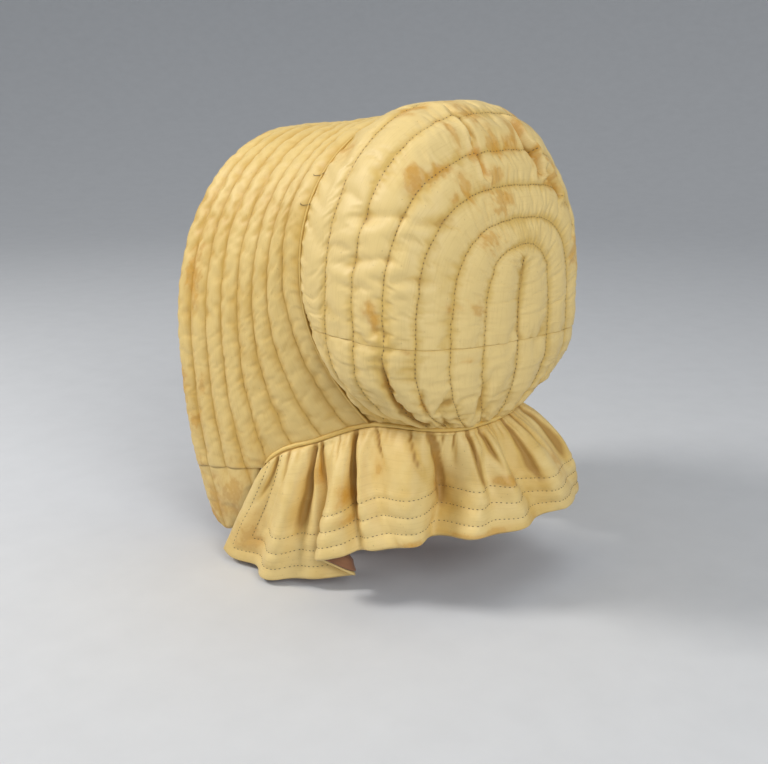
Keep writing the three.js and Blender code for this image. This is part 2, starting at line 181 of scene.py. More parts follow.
# %% Noise on a grid
def noise(x, y, seed=0):
    """Smooth value noise from −1 to 1: numbers at the corners of unit squares, blended by
    3s² − 2s³."""
    x, y = np.broadcast_arrays(np.asarray(x, float), np.asarray(y, float))
    left, low = np.floor(x).astype(np.int64), np.floor(y).astype(np.int64)
    u, v = smooth(0, 1, x - left), smooth(0, 1, y - low)

    def corner(a, b):
        mixed = (a * 374761393 + b * 668265263 + seed * 974634777) & 0xFFFFFFFF
        mixed = ((mixed ^ (mixed >> 13)) * 1274126177) & 0xFFFFFFFF
        return ((mixed ^ (mixed >> 16)) & 0xFFFF) / 32767.5 - 1

    lower = corner(left, low) * (1 - u) + corner(left + 1, low) * u
    upper = corner(left, low + 1) * (1 - u) + corner(left + 1, low + 1) * u
    return lower * (1 - v) + upper * v


def layered(x, y, seed=0):
    """Three layers of noise, each at twice the pitch and half the height of the one before."""
    return noise(x, y, seed) + 0.5 * noise(2 * x, 2 * y, seed + 1) + 0.25 * noise(4 * x, 4 * y, seed + 2)


sample = noise(np.linspace(0, 50, 500), 0.5)
print("noise runs from", round(float(sample.min()), 2), "to", round(float(sample.max()), 2))

# %% [markdown]
# ## From a grid to a mesh
# Every cloth piece here is a pad: an outer and an inner grid of points with the same rows and
# columns, which share their border. Sharing the border closes the pad without any extra strip, and a
# round seat near the border makes the edge look turned in and sewn. The same builder serves the
# thick brim and the thin curtain. It also stores a UV map in real metres, so a weave has its true
# scale anywhere, and a few numbers per point that the materials read: how high a puff is, with painted
# shade in the hollows, and where stains and some more painted shade lie.

# %% Mesh helpers
def run_length(path):
    """The length along a path from its start to each of its points."""
    return np.concatenate([[0], np.cumsum(np.linalg.norm(np.diff(path, axis=0), axis=-1))])


def read_path(path, length, wanted):
    """Points or directions of a path at the wanted lengths."""
    return np.stack([np.interp(wanted, length, path[:, k]) for k in range(3)], -1)


def border_distance(points, side):
    """Length along the grid to one border: 'first' or 'last' row, 'start' or 'end' of the columns."""
    axis = 0 if side in ("first", "last") else 1
    steps = np.linalg.norm(np.diff(points, axis=axis), axis=-1)
    run = np.concatenate([np.zeros_like(steps.take([0], axis)), np.cumsum(steps, axis=axis)], axis=axis)
    return run if side in ("first", "start") else run.take([-1], axis) - run


def seat(points, rolls):
    """How far a pad has risen, from 0 on its borders to 1: a quarter circle over each border's roll."""
    risen = np.ones(points.shape[:2])
    for side, roll in rolls.items():
        share = np.clip(border_distance(points, side) / roll, 0, 1)
        risen = np.minimum(risen, np.sqrt(1 - (1 - share) ** 2))
    return risen


def sewn_heights(points, lift, rolls, sinks):
    """Heights of the outer and the inner side of a wall. Each border draws both sides together over
    its roll: a seam to a sink below the puffs, a free edge to the middle of the wall."""
    inner = np.minimum(lift, 0) - WALL
    outer, under = lift, inner
    for side, roll in rolls.items():
        risen = seat(points, {side: roll})
        level = lift - sinks[side] if side in sinks else np.full(lift.shape, -WALL / 2)
        outer = np.minimum(outer, level + (lift - level) * risen)
        under = np.maximum(under, level + (inner - level) * risen)
    return outer, np.minimum(under, outer - THINNEST)


def new_piece(name, points, faces, face_kinds=None, cloth=None, facts=None, materials=()):
    """A mesh from arrays: points, faces of equal size, a material number for each face, UVs for
    each face corner and named numbers for each point. Faces are turned outwards if needed."""
    corners = points[faces]
    spans = [np.einsum("ij,ij->i", corners[:, 0], np.cross(corners[:, k], corners[:, k + 1]))
             for k in range(1, faces.shape[1] - 1)]
    if np.sum(spans) < 0:
        faces = faces[:, ::-1]
        cloth = None if cloth is None else cloth[:, ::-1]
    size = faces.shape[1]
    mesh = bpy.data.meshes.new(name)
    mesh.vertices.add(len(points))
    mesh.vertices.foreach_set("co", points.astype(np.float32).ravel())
    mesh.loops.add(faces.size)
    mesh.loops.foreach_set("vertex_index", faces.astype(np.int32).ravel())
    mesh.polygons.add(len(faces))
    mesh.polygons.foreach_set("loop_start", np.arange(0, faces.size, size, dtype=np.int32))
    for material in materials:
        mesh.materials.append(material)
    if face_kinds is not None:
        mesh.polygons.foreach_set("material_index", face_kinds.astype(np.int32))
    if cloth is not None:
        layer = mesh.uv_layers.new(name="cloth")
        layer.data.foreach_set("uv", cloth.astype(np.float32).ravel())
    for fact, values in (facts or {}).items():
        layer = mesh.attributes.new(fact, "FLOAT", "POINT")
        layer.data.foreach_set("value", values.astype(np.float32).ravel())
    mesh.update(calc_edges=True)
    mesh.shade_smooth()
    piece = bpy.data.objects.new(name, mesh)
    bpy.context.scene.collection.objects.link(piece)
    print(f"{name}: {len(points)} points, {len(faces) * (size - 2)} triangles")
    return piece


def grid_faces(numbers):
    """Four-sided faces between neighbouring rows and columns of a grid of point numbers."""
    faces = np.stack([numbers[:-1, :-1], numbers[1:, :-1], numbers[1:, 1:], numbers[:-1, 1:]], -1)
    return faces.reshape(-1, 4)


def pad(name, outer, inner, cloth, facts, materials, folded=False):
    """A closed pad. Border points of the inner grid are those of the outer grid. With folded set,
    the last row is folded in its middle and its two halves are one."""
    rows, columns = outer.shape[:2]
    count = rows * columns
    own = np.arange(count).reshape(rows, columns)
    top = own.copy()
    if folded:
        top[-1, columns // 2 + 1:] = top[-1, :columns // 2][::-1]
    edge = np.zeros((rows, columns), bool)
    edge[0], edge[:, 0], edge[:, -1] = True, True, True
    edge[-1] |= not folded
    under = np.where(edge, top, top + count)
    faces = np.concatenate([grid_faces(top), grid_faces(under)[:, ::-1]])
    corners = np.concatenate([grid_faces(own), grid_faces(own)[:, ::-1]])
    kinds = np.repeat([0, 1], len(faces) // 2)
    used, numbers = np.unique(faces, return_inverse=True)
    points = np.concatenate([outer.reshape(-1, 3), inner.reshape(-1, 3)])[used]
    kept = {k: np.concatenate([v.ravel(), np.full(count, v.mean())])[used] for k, v in facts.items()}
    flat = cloth.reshape(-1, 2)[corners]
    return new_piece(name, points, numbers.reshape(faces.shape), kinds, flat, kept, materials)


strip = plain_point(np.linspace(0, 1, 5)[:, None], np.linspace(0, 1, 3)[None, :])
strip_width = float(border_distance(strip, "first")[-1, 0])
print("the first channel at the apex is", round(strip_width / MM, 1), "mm wide")

# %% [markdown]
# ## Shader arithmetic
# A cloth material is mostly arithmetic on masks. Written as nodes it is hard to read, so one small
# class wraps a socket and lets Python's own operators add the Math nodes. Colours go through Mix
# nodes, because a Math node would turn them grey. Every other node comes from one method.

# %% Shader helpers
class Wire:
    """An output socket that can be added, subtracted, multiplied and raised to a power."""

    def __init__(self, paint, socket):
        self.paint, self.socket = paint, socket

    def maths(self, operation, first, second=None):
        values = {0: first} if second is None else {0: first, 1: second}
        return self.paint.node("ShaderNodeMath", {"operation": operation}, values)

    def __add__(self, other):
        return self.maths("ADD", self, other)

    def __sub__(self, other):
        return self.maths("SUBTRACT", self, other)

    def __mul__(self, other):
        return self.maths("MULTIPLY", self, other)

    def __pow__(self, other):
        return self.maths("POWER", self, other)

    def __rsub__(self, other):
        return self.maths("SUBTRACT", other, self)

    __radd__, __rmul__ = __add__, __mul__

    def sine(self):
        return self.maths("SINE", self)

    def size(self):
        return self.maths("ABSOLUTE", self)

    def held(self):
        """Kept between 0 and 1."""
        return self.maths("MINIMUM", self.maths("MAXIMUM", self, 0.0), 1.0)


class Paint:
    """A material and the nodes in it."""

    def __init__(self, name):
        self.material = bpy.data.materials.new(name)
        self.material.use_nodes = True
        self.tree = self.material.node_tree
        self.shader = self.tree.nodes["Principled BSDF"]

    def put(self, socket, value):
        """Links a wire to a socket, or gives the socket a value."""
        if isinstance(value, Wire):
            self.tree.links.new(value.socket, socket)
        else:
            socket.default_value = value

    def node(self, kind, settings=None, values=None, output=0):
        """Adds a node: its settings first, then the values or links of its sockets."""
        made = self.tree.nodes.new(kind)
        for key, value in (settings or {}).items():
            setattr(made, key, value)
        for key, value in (values or {}).items():
            self.put(made.inputs[key], value)
        return Wire(self, made.outputs[output])

    def fact(self, name):
        """A number that a piece carries at each point."""
        return self.node("ShaderNodeAttribute", {"attribute_name": name}, output="Fac")

    def mix(self, share, first, second):
        """A colour between two colours."""
        values = {"Factor": share, "A": first, "B": second}
        made = self.node("ShaderNodeMix", {"data_type": "RGBA"}).socket.node
        for key, value in values.items():
            wanted = "VALUE" if key == "Factor" else "RGBA"
            self.put(next(s for s in made.inputs if s.name == key and s.type == wanted), value)
        return Wire(self, next(s for s in made.outputs if s.type == "RGBA"))

    def cloudy(self, where, scale, detail=3.0, rough=0.55):
        """Blender's noise texture around 0.5."""
        values = {"Vector": where, "Scale": scale, "Detail": detail, "Roughness": rough}
        return self.node("ShaderNodeTexNoise", {"noise_dimensions": "3D"}, values, "Fac")

    def stretched(self, where, scale):
        """Coordinates scaled by a vector, so that a pattern can be long one way."""
        return self.node("ShaderNodeMapping", {"vector_type": "POINT"}, {"Vector": where, "Scale": scale})

    def threads(self, cloth, axis, pitch):
        """A sine over one axis of the cloth, with a wave for each thread."""
        along = self.node("ShaderNodeSeparateXYZ", values={0: cloth}, output=axis)
        return (along * (2 * np.pi / pitch)).sine()

    def finish(self, **values):
        """Fills the sockets of the main shader, with underscores for the spaces in their names."""
        for key, value in values.items():
            self.put(self.shader.inputs[key.replace("_", " ")], value)
        return self.material


def colour(red, green, blue):
    """A screen colour from 0 to 255, as the linear light that a shader works in."""
    share = np.array([red, green, blue]) / 255
    light = np.where(share <= 0.04045, share / 12.92, ((share + 0.055) / 1.055) ** 2.4)
    return (*light.tolist(), 1.0)


print("straw gold in linear light:", [round(v, 3) for v in colour(216, 185, 104)])

# %% [markdown]
# ## Silk
# Old silk taffeta is a plain weave whose cross threads are a little thicker, so it has fine ribs and
# the odd slub. Its colour is uneven in three ways: dye and age make broad clouds, the tops of the pads
# are paler, partly as wear and partly as painted light, and water has left amber stains with soft edges.
# Painted shade darkens the valleys, creases and seams, and some amber spots are painted shade in slits.
# The puff height with its painted shade and the stains are numbers stored on the mesh, so both stay on
# their folds.

# %% The silk material
WARP_PITCH, WEFT_PITCH, LINING_PITCH = 0.42 * MM, 0.55 * MM, 0.5 * MM
AMBER, AMBER_RIM, SPECK = colour(200, 142, 34), colour(176, 114, 20), colour(120, 84, 40)


def silk(name, pale, ground, deep, seed):
    """Silk of three tones. The ground turns pale with clouds, patches and high pad tops, partly as wear
    and partly as painted light, and painted shade deepens it where the pads are low, in valleys, creases
    and seams. Slubs and streaks follow the threads. Amber stains, with painted shade in slits, mix in by
    their strength times the patches, and a darker rim where that is about a half."""
    paint = Paint(name)
    place = paint.node("ShaderNodeTexCoord", output="Object")
    cloth = paint.node("ShaderNodeUVMap", {"uv_map": "cloth"})
    shifted = paint.node("ShaderNodeVectorMath", {"operation": "ADD"},
                         {0: place, 1: (seed * 0.37, seed * 0.11, seed * 0.23)})
    broad = paint.cloudy(shifted, 22.0)
    patch = paint.cloudy(shifted, 75.0, 4.0)
    slub = paint.cloudy(paint.stretched(cloth, (40.0, 1100.0, 1.0)), 1.0, 2.0)
    streak = paint.cloudy(paint.stretched(cloth, (1300.0, 30.0, 1.0)), 1.0, 2.0)
    ridge_and_shade = paint.fact("ridge_and_shade")
    stain_and_shade = paint.fact("stain_and_shade")
    # Painted light and shade: high puff values paint pad tops paler, partly as wear and partly as painted
    # light; low values paint shade into valleys, creases and seams, with patches of uneven tone.
    pale_share = ((broad - 0.5) * 2.6 + (patch - 0.5) * 1.2 + (ridge_and_shade - 0.55) * 1.5 + 0.5).held()
    hollow_shade = ((0.34 - ridge_and_shade) * 2.6 + (patch - 0.5) * 0.9).held()
    tint = paint.mix(pale_share, ground, pale)
    tint = paint.mix(hollow_shade * 0.62, tint, deep)
    tint = paint.mix(((slub - 0.52) * 2.2).held() * 0.22, tint, deep)
    tint = paint.mix(((streak - 0.52) * 2.0).held() * 0.16, tint, pale)
    grain = paint.cloudy(shifted, 260.0, 4.0, 0.65)
    # The amber mix holds the real water stains and painted shade in slits, folds, the crown's top and the
    # corner tabs.
    amber_share = (stain_and_shade * (patch * 1.1 + grain * 1.5 - 0.25)).held() ** 1.2
    tint = paint.mix(amber_share * 0.76, tint, AMBER)
    rim = (1.0 - ((amber_share - 0.5) * 6.0).size()).held()
    tint = paint.mix(rim * amber_share * 0.3, tint, AMBER_RIM)
    speck = ((paint.cloudy(shifted, 640.0, 2.0) - 0.7) * 12.0).held()
    tint = paint.mix(speck * 0.45, tint, SPECK)
    warp, weft = paint.threads(cloth, "X", WARP_PITCH), paint.threads(cloth, "Y", WEFT_PITCH)
    height = warp * 0.25 + weft * 0.4 + slub * 1.6 + streak * 0.8 + patch * 2.0
    bump = paint.node("ShaderNodeBump", values={"Strength": 0.35, "Distance": 0.09 * MM, "Height": height})
    return paint.finish(
        Base_Color=tint,
        Roughness=0.5 + (patch - 0.5) * 0.3 + hollow_shade * 0.12,
        Normal=bump,
        Sheen_Weight=0.08,
        Sheen_Roughness=0.42,
        Sheen_Tint=colour(255, 240, 205),
        Specular_IOR_Level=0.42,
    )


SILK_BRIM = silk("silk_brim", colour(226, 196, 124), colour(208, 170, 88), colour(152, 106, 26), 1)
SILK_CROWN = silk("silk_crown", colour(230, 202, 134), colour(212, 178, 98), colour(158, 112, 30), 2)
SILK_CURTAIN = silk("silk_curtain", colour(230, 202, 134), colour(214, 178, 98), colour(142, 94, 26), 3)
SILK_PIPING = silk("silk_piping", colour(224, 192, 112), colour(202, 160, 72), colour(142, 98, 24), 4)
print("silks:", SILK_BRIM.name, SILK_CROWN.name, SILK_CURTAIN.name, SILK_PIPING.name)

# %% [markdown]
# ## Lining and thread
# The lining is a warm brown plain weave, matt and a little worn. The thread is a dark grey-brown
# twist; a stitch is so small that a fine diagonal twist and some change of tone are all it needs.

# %% The lining and thread materials
def lining(name):
    """Brown cloth: two tones in patches, darker slubs along the threads, warp × weft as its weave."""
    paint = Paint(name)
    place = paint.node("ShaderNodeTexCoord", output="Object")
    cloth = paint.node("ShaderNodeUVMap", {"uv_map": "cloth"})
    patch = paint.cloudy(place, 55.0, 4.0)
    slub = paint.cloudy(paint.stretched(cloth, (60.0, 1400.0, 1.0)), 1.0, 2.0)
    weave = paint.threads(cloth, "X", LINING_PITCH) * paint.threads(cloth, "Y", LINING_PITCH)
    tint = paint.mix(patch, colour(122, 80, 54), colour(160, 112, 76))
    tint = paint.mix(((slub - 0.5) * 2.0).held() * 0.4, tint, colour(96, 60, 40))
    bump = paint.node("ShaderNodeBump",
                      values={"Strength": 0.4, "Distance": 0.1 * MM, "Height": weave * 0.6 + slub * 1.5})
    rough = 0.78 + (patch - 0.5) * 0.2
    return paint.finish(Base_Color=tint, Roughness=rough, Normal=bump, Sheen_Weight=0.15)


def thread(name, dark, light):
    """Thread between two tones, with the roughness and the bump of a fine twist."""
    paint = Paint(name)
    place = paint.node("ShaderNodeTexCoord", output="Object")
    tone = paint.cloudy(place, 260.0, 2.0)
    twist = paint.cloudy(place, 4200.0, 1.0)
    tint = paint.mix(tone, dark, light)
    bump = paint.node("ShaderNodeBump", values={"Strength": 0.5, "Distance": 0.05 * MM, "Height": twist})
    return paint.finish(Base_Color=tint, Roughness=0.7 + twist * 0.1, Normal=bump)


LINING = lining("lining_brown")
THREAD_DARK = thread("thread_dark", colour(78, 64, 44), colour(132, 108, 70))
THREAD_SILK = thread("thread_silk", colour(132, 98, 46), colour(186, 150, 82))
print("plain materials:", LINING.name, THREAD_DARK.name, THREAD_SILK.name)

# %% [markdown]
# ## How the quilting swells
# Between two lines the wadding swells. |sin| of the line number has exactly the right zeros, and a
# power below 1 turns its waves into round pads with sharp valleys. Real lines wander a little, so
# the line number is first shifted by noise. The crown was cut too large and gathered in at the seam
# with the brim and at the nape, which leaves small tucks there that die out over two centimetres.
# Broad creases lie where the photograph has them, listed from point to point on the surface.

# %% Relief of brim and crown
BRIM_RIB, CROWN_RIB, CORNER_RIB = 2.3 * MM, 1.1 * MM, 0.7 * MM
PUFF_POWER = 0.62
LINE_PITCH, TURN_LENGTH = 22 * MM, 140 * MM
CROWN_PITCH, LOWER_LENGTH = 26 * MM, 66 * MM
TUCK_HEIGHT, TUCK_WIDTH, TUCK_REACH = 1.5 * MM, 3.4 * MM, 9 * MM
NAPE_HEIGHT, NAPE_LENGTH, NAPE_REACH = 2.2 * MM, 40 * MM, 15 * MM
CROSSING_HEIGHT, CROSSING_WIDTH = 0.6 * MM, 11 * MM
PUCKER_HEIGHT, PUCKER_WIDTH, BRIM_UNEVEN = 0.14 * MM, 6 * MM, 0.16 * MM
CREASES = np.array([
    # side line1 turn1 line2 turn2 halfWidth depth lip
    [0, 14.9, 0.0, 15, 0.95, 8, 1.0, 0],
    [1, 10.8, 1.07, 11.0, 1.4, 5, 2.0, 0],
    [1, 11.0, 1.4, 11.15, 1.95, 5, 2.6, 0],
    [1, 10.92, 1.2, 11.14, 1.45, 2.0, 1.6, 0.5],
    [1, 11.04, 1.32, 11.1, 1.95, 2.2, 3.2, 0.9],
    [1, 8.6, 1.45, 9.6, 1.95, 5, 2.2, 0],
    [1, 12.25, 1.3, 11.6, 1.95, 2.2, 1.5, 0.7],
    [1, 12.8, 1.45, 12.2, 1.97, 2.2, 1.9, 0.8],
    [1, 14.3, 1.3, 13.6, 1.97, 2.4, 1.5, 0.7],
    [1, 8.9, 0.11, 9.5, 0.14, 2.8, 1.8, 1.2],
    [1, 9.15, 0.13, 10.4, 0.15, 2.4, 2.6, 1.6],
    [1, 9.9, 0.146, 11.6, 0.168, 2.3, 3.0, 1.6],
    [1, 11.2, 0.58, 12.1, 0.46, 3.2, 1.2, 0.7],
    [1, 8.9, 0.74, 11.0, 0.57, 3.0, 1.1, 0.9],
    [1, 8.9, 0.83, 11.0, 0.71, 2.7, 1.0, 0.8],
    [1, 11.0, 0.765, 12.2, 0.71, 2.7, 0.9, 0.7],
    [1, 10.4, 0.9, 10.7, 0.95, 2.4, 1.1, 0.6],
    [1, 10.7, 0.95, 11.1, 0.955, 2.4, 1.1, 0.6],
    [-1, 10.5, 0.17, 11.6, 0.24, 4, 1.4, 0],
    [-1, 10.05, 0.135, 11.1, 0.198, 2.0, 4.6, 3.4],
    [-1, 10.75, 0.178, 11.6, 0.242, 2.0, 4.2, 3.2],
    [-1, 11.35, 0.215, 12.0, 0.4, 2.2, 3.4, 2.2],
    [-1, 10.2, 0.45, 12.4, 0.6, 4, 1.4, 0.4],
    [-1, 13.4, 1.45, 13.2, 2, 3.6, 2.2, 0.5],
    [-1, 11.2, 1.2, 11.0, 1.95, 4, 2.6, 0.6],
], float)
CREASES[:, 5:] *= MM


def groove(line, turn, row):
    """Height of one crease: −depth · exp(−(distance / half width)²) from its straight track. On the
    side of the higher turns the cloth is pushed up into a lip, two half widths from the track. Both
    run out to a point at the start."""
    side, line1, turn1, line2, turn2, half_width, depth, lip = row
    x, y = line * LINE_PITCH, np.abs(turn) * TURN_LENGTH
    start = np.array([line1 * LINE_PITCH, turn1 * TURN_LENGTH])
    way = np.array([line2 * LINE_PITCH, turn2 * TURN_LENGTH]) - start
    share = np.clip(((x - start[0]) * way[0] + (y - start[1]) * way[1]) / (way @ way), 0, 1)
    away = np.stack([x - start[0] - share * way[0], y - start[1] - share * way[1]], -1)
    grown = smooth(-0.1, 0.45, share)
    half_width = half_width * (0.35 + 0.65 * grown)
    distance = np.hypot(away[..., 0], away[..., 1])
    distance = distance + 0.25 * half_width * noise(x / (9 * MM), y / (9 * MM), 5)
    beside = distance * np.sign(away[..., 1])
    wanted = 1.0 if side == 0 else (np.sign(turn) == side)
    raised = lip * np.exp(-((beside - 2 * half_width) / half_width) ** 2)
    return wanted * grown * (raised - depth * np.exp(-(distance / half_width) ** 2))


def creased(line, turn):
    """All creases and their lips together; none in front of the seam with the brim."""
    crown = smooth(SEAM_LINE - 0.02, SEAM_LINE + 0.02, line)
    return crown * sum(groove(line, turn, row) for row in CREASES)


def wandering(line, turn):
    """The line number that a point really has: shifted by slow noise along each line."""
    return line + 0.035 * noise(turn * 9, line * 0.8, 11) + 0.02 * noise(turn * 31, line * 1.3, 12)


def relief(line, turn, rib):
    """Height over the plain surface: the puff between lines, uneven from pad to pad, and the creases.
    The crown adds tucks at seam and nape and small wrinkles that cross its pads; the brim adds
    puckers at its stitches and a little unevenness."""
    real = wandering(line, turn)
    wave = np.abs(np.sin(np.pi * real)) ** PUFF_POWER
    pressed = 1 - 0.8 * smooth(1.8, 2, np.abs(turn))
    uneven = 1 + 0.16 * noise(turn * 7, np.floor(real) * 3.7, 21) + 0.08 * noise(turn * 24, line, 22)
    puff = rib * wave * pressed * uneven
    crown = smooth(SEAM_LINE - 0.02, SEAM_LINE + 0.02, line)
    from_seam = (line - SEAM_LINE) * CROWN_PITCH
    tucks = TUCK_HEIGHT * noise(turn * TURN_LENGTH / TUCK_WIDTH, from_seam / CROWN_PITCH, 31)
    tucks = tucks * np.exp(-from_seam / TUCK_REACH) * smooth(0.0, 0.16, line - SEAM_LINE)
    from_neck = (2 - np.abs(turn)) * LOWER_LENGTH
    nape = NAPE_HEIGHT * noise(line * 3.4, from_neck / NAPE_LENGTH, 41) * np.exp(-from_neck / NAPE_REACH)
    nape = nape * (0.3 + 0.7 * smooth(0, 5 * MM, from_neck)) * smooth(0, 0.5, line - SEAM_LINE)
    crossing = CROSSING_HEIGHT * layered(turn * TURN_LENGTH / CROSSING_WIDTH, line * 0.55, 51)
    crossing = crossing * (0.35 + 0.65 * np.abs(np.sin(np.pi * real)))
    puckers = PUCKER_HEIGHT * noise(turn * TURN_LENGTH / PUCKER_WIDTH, real * 2.0, 61) * (1 - wave)
    on_brim = puckers + BRIM_UNEVEN * layered(turn * 14, line * 1.1, 62)
    return puff + crown * (tucks + nape + crossing) + (1 - crown) * on_brim + creased(line, turn)


peak = relief(np.linspace(0, 8, 400), 0.7, BRIM_RIB)
print("the brim's pads rise", round(float(peak.max()) / MM, 2), "mm over their lines")

# %% [markdown]
# ## Stains and painted shade
# The stains were placed one row each, where the photograph shows them, and some rows are painted shade in
# slits, folds, the crown's top and the corner tabs. Each is a soft spot whose edge is pushed about by
# noise, and the mesh carries the result for the silk to read.

# %% Stains of brim and crown
# Most rows are water stains; the rows in the slits and folds of the crown, along its top and on the corner
# tabs are painted shade.
STAINS_AND_SHADE = np.array([
    # side line turn radiusLine radiusTurn strength
    [1, 10.8, 0.45, 0.35, 0.05, 1.0], [1, 10.95, 0.38, 0.18, 0.05, 1.0], [1, 9.2, 0.24, 0.3, 0.05, 0.9],
    [1, 11.0, 0.185, 0.2, 0.04, 0.9], [1, 11.55, 0.3, 0.5, 0.03, 0.8], [1, 11.65, 0.1, 0.25, 0.05, 0.8],
    [0, 10.9, 0.045, 0.3, 0.04, 0.9], [1, 12.35, 0.12, 0.3, 0.1, 0.9], [1, 11.8, 0.375, 0.12, 0.03, 0.7],
    [1, 13.4, 0.32, 0.3, 0.09, 0.8], [1, 13.7, 0.765, 0.2, 0.04, 0.7], [1, 12.9, 0.8, 0.25, 0.03, 0.6],
    [1, 10.7, 0.9, 0.18, 0.05, 0.9], [1, 11.7, 1.02, 0.15, 0.03, 0.5], [1, 13.45, 1.14, 0.25, 0.04, 0.6],
    [1, 8.2, 0.45, 0.4, 0.03, 0.5], [1, 9.3, 0.3, 0.6, 0.03, 0.5], [1, 8.7, 0.5, 0.5, 0.03, 0.4],
    [1, 1.15, 0.78, 0.5, 0.12, 0.8], [1, 1.5, 1.24, 0.4, 0.05, 0.6], [1, 0.2, 1.24, 0.3, 0.08, 0.8],
    [1, 0.7, 1.44, 0.4, 0.06, 0.7], [1, 0.3, 1.7, 0.5, 0.12, 0.6], [1, 0.5, 1.95, 0.6, 0.05, 1.3],
    [1, 1.4, 1.86, 1.6, 0.14, 0.55], [-1, 1.6, 1.88, 1.4, 0.12, 0.5],
    [-1, 10.7, 0.172, 0.45, 0.018, 1.4], [-1, 11.35, 0.218, 0.35, 0.018, 1.5],
    [-1, 11.8, 0.31, 0.25, 0.04, 1.1],
    [1, 10.1, 0.148, 0.5, 0.012, 1.1], [1, 11.0, 0.16, 0.5, 0.012, 1.2], [1, 9.4, 0.137, 0.4, 0.012, 0.9],
    [1, 11.08, 1.42, 0.12, 0.1, 1.1], [1, 11.1, 1.72, 0.12, 0.14, 1.2], [1, 12.0, 1.6, 0.1, 0.1, 0.8],
    [-1, 9.8, 0.3, 0.5, 0.06, 0.8], [-1, 11.5, 0.35, 0.4, 0.05, 0.9], [-1, 12.5, 0.7, 0.3, 0.08, 0.7],
    [-1, 10.2, 0.9, 0.3, 0.06, 0.6], [-1, 0.6, 0.9, 0.4, 0.1, 0.7], [-1, 1.4, 1.5, 0.5, 0.08, 0.6],
    [1, 9.8, 0.06, 0.7, 0.05, 0.8], [1, 10.4, 0.24, 0.5, 0.02, 0.8], [-1, 10.7, 0.1, 0.5, 0.03, 0.8],
    [-1, 4.4, 0.5, 0.5, 0.05, 0.5], [0, 0.3, 0.2, 0.3, 0.15, 0.6], [1, 3.2, 0.05, 0.4, 0.1, 0.5],
], float)


def strongest(table, across, along, ragged):
    """The strongest spot at a point: strength · exp(−1.3 r²). r is the distance in radii, made
    ragged by noise. A row for side 1 or −1 works where along has that sign, side 0 on both."""
    found = np.zeros(np.broadcast(across, along).shape)
    for side, at_across, at_along, wide, high, strength in table:
        r = np.hypot((across - at_across) / wide, (np.abs(along) - at_along) / high) + ragged
        wanted = 1.0 if side == 0 else (np.sign(along) == side)
        found = np.maximum(found, wanted * strength * np.exp(-np.maximum(r, 0) ** 2 * 1.3))
    return found


def stains_and_shade(line, turn):
    """Stains of brim and crown, and painted shade in their slits and folds."""
    ragged = 0.55 * layered(line * 2.6, turn * 17, 71) + 0.45 * layered(line * 8, turn * 50, 72)
    return strongest(STAINS_AND_SHADE, line, turn, ragged)


print("stains placed:", len(STAINS_AND_SHADE))

# %% [markdown]
# ## Let the cloth settle
# Quilting puckers because the silk between two rows of stitches is a little longer than the rows.
# Blender's cloth solver does just that: the stitched rows are held, the cloth between them is made
# a few percent too large, and a little air pushes it out. The run works at ten times the real size,
# where the solver is steady, and without gravity. Only the moves are kept, and read smoothly on to
# the finer grid, so no Cloth modifier stays on the piece.

# %% The cloth run
RUN_SCALE, RUN_FRAMES = 10.0, 16
LARGEST_MOVE = 2.6 * MM


def reading(coarse, fine):
    """A matrix that reads evenly spaced values at finer places, by Catmull-Rom weights."""
    at = (fine - coarse[0]) / (coarse[1] - coarse[0])
    i = np.clip(np.floor(at).astype(int), 0, len(coarse) - 2)
    u = at - i
    weights = (
        -0.5 * u + u ** 2 - 0.5 * u ** 3,
        1 - 2.5 * u ** 2 + 1.5 * u ** 3,
        0.5 * u + 2 * u ** 2 - 1.5 * u ** 3,
        -0.5 * u ** 2 + 0.5 * u ** 3,
    )
    matrix = np.zeros((len(fine), len(coarse)))
    for offset, weight in enumerate(weights):
        column = np.clip(i + offset - 1, 0, len(coarse) - 1)
        np.add.at(matrix, (np.arange(len(fine)), column), weight)
    return matrix


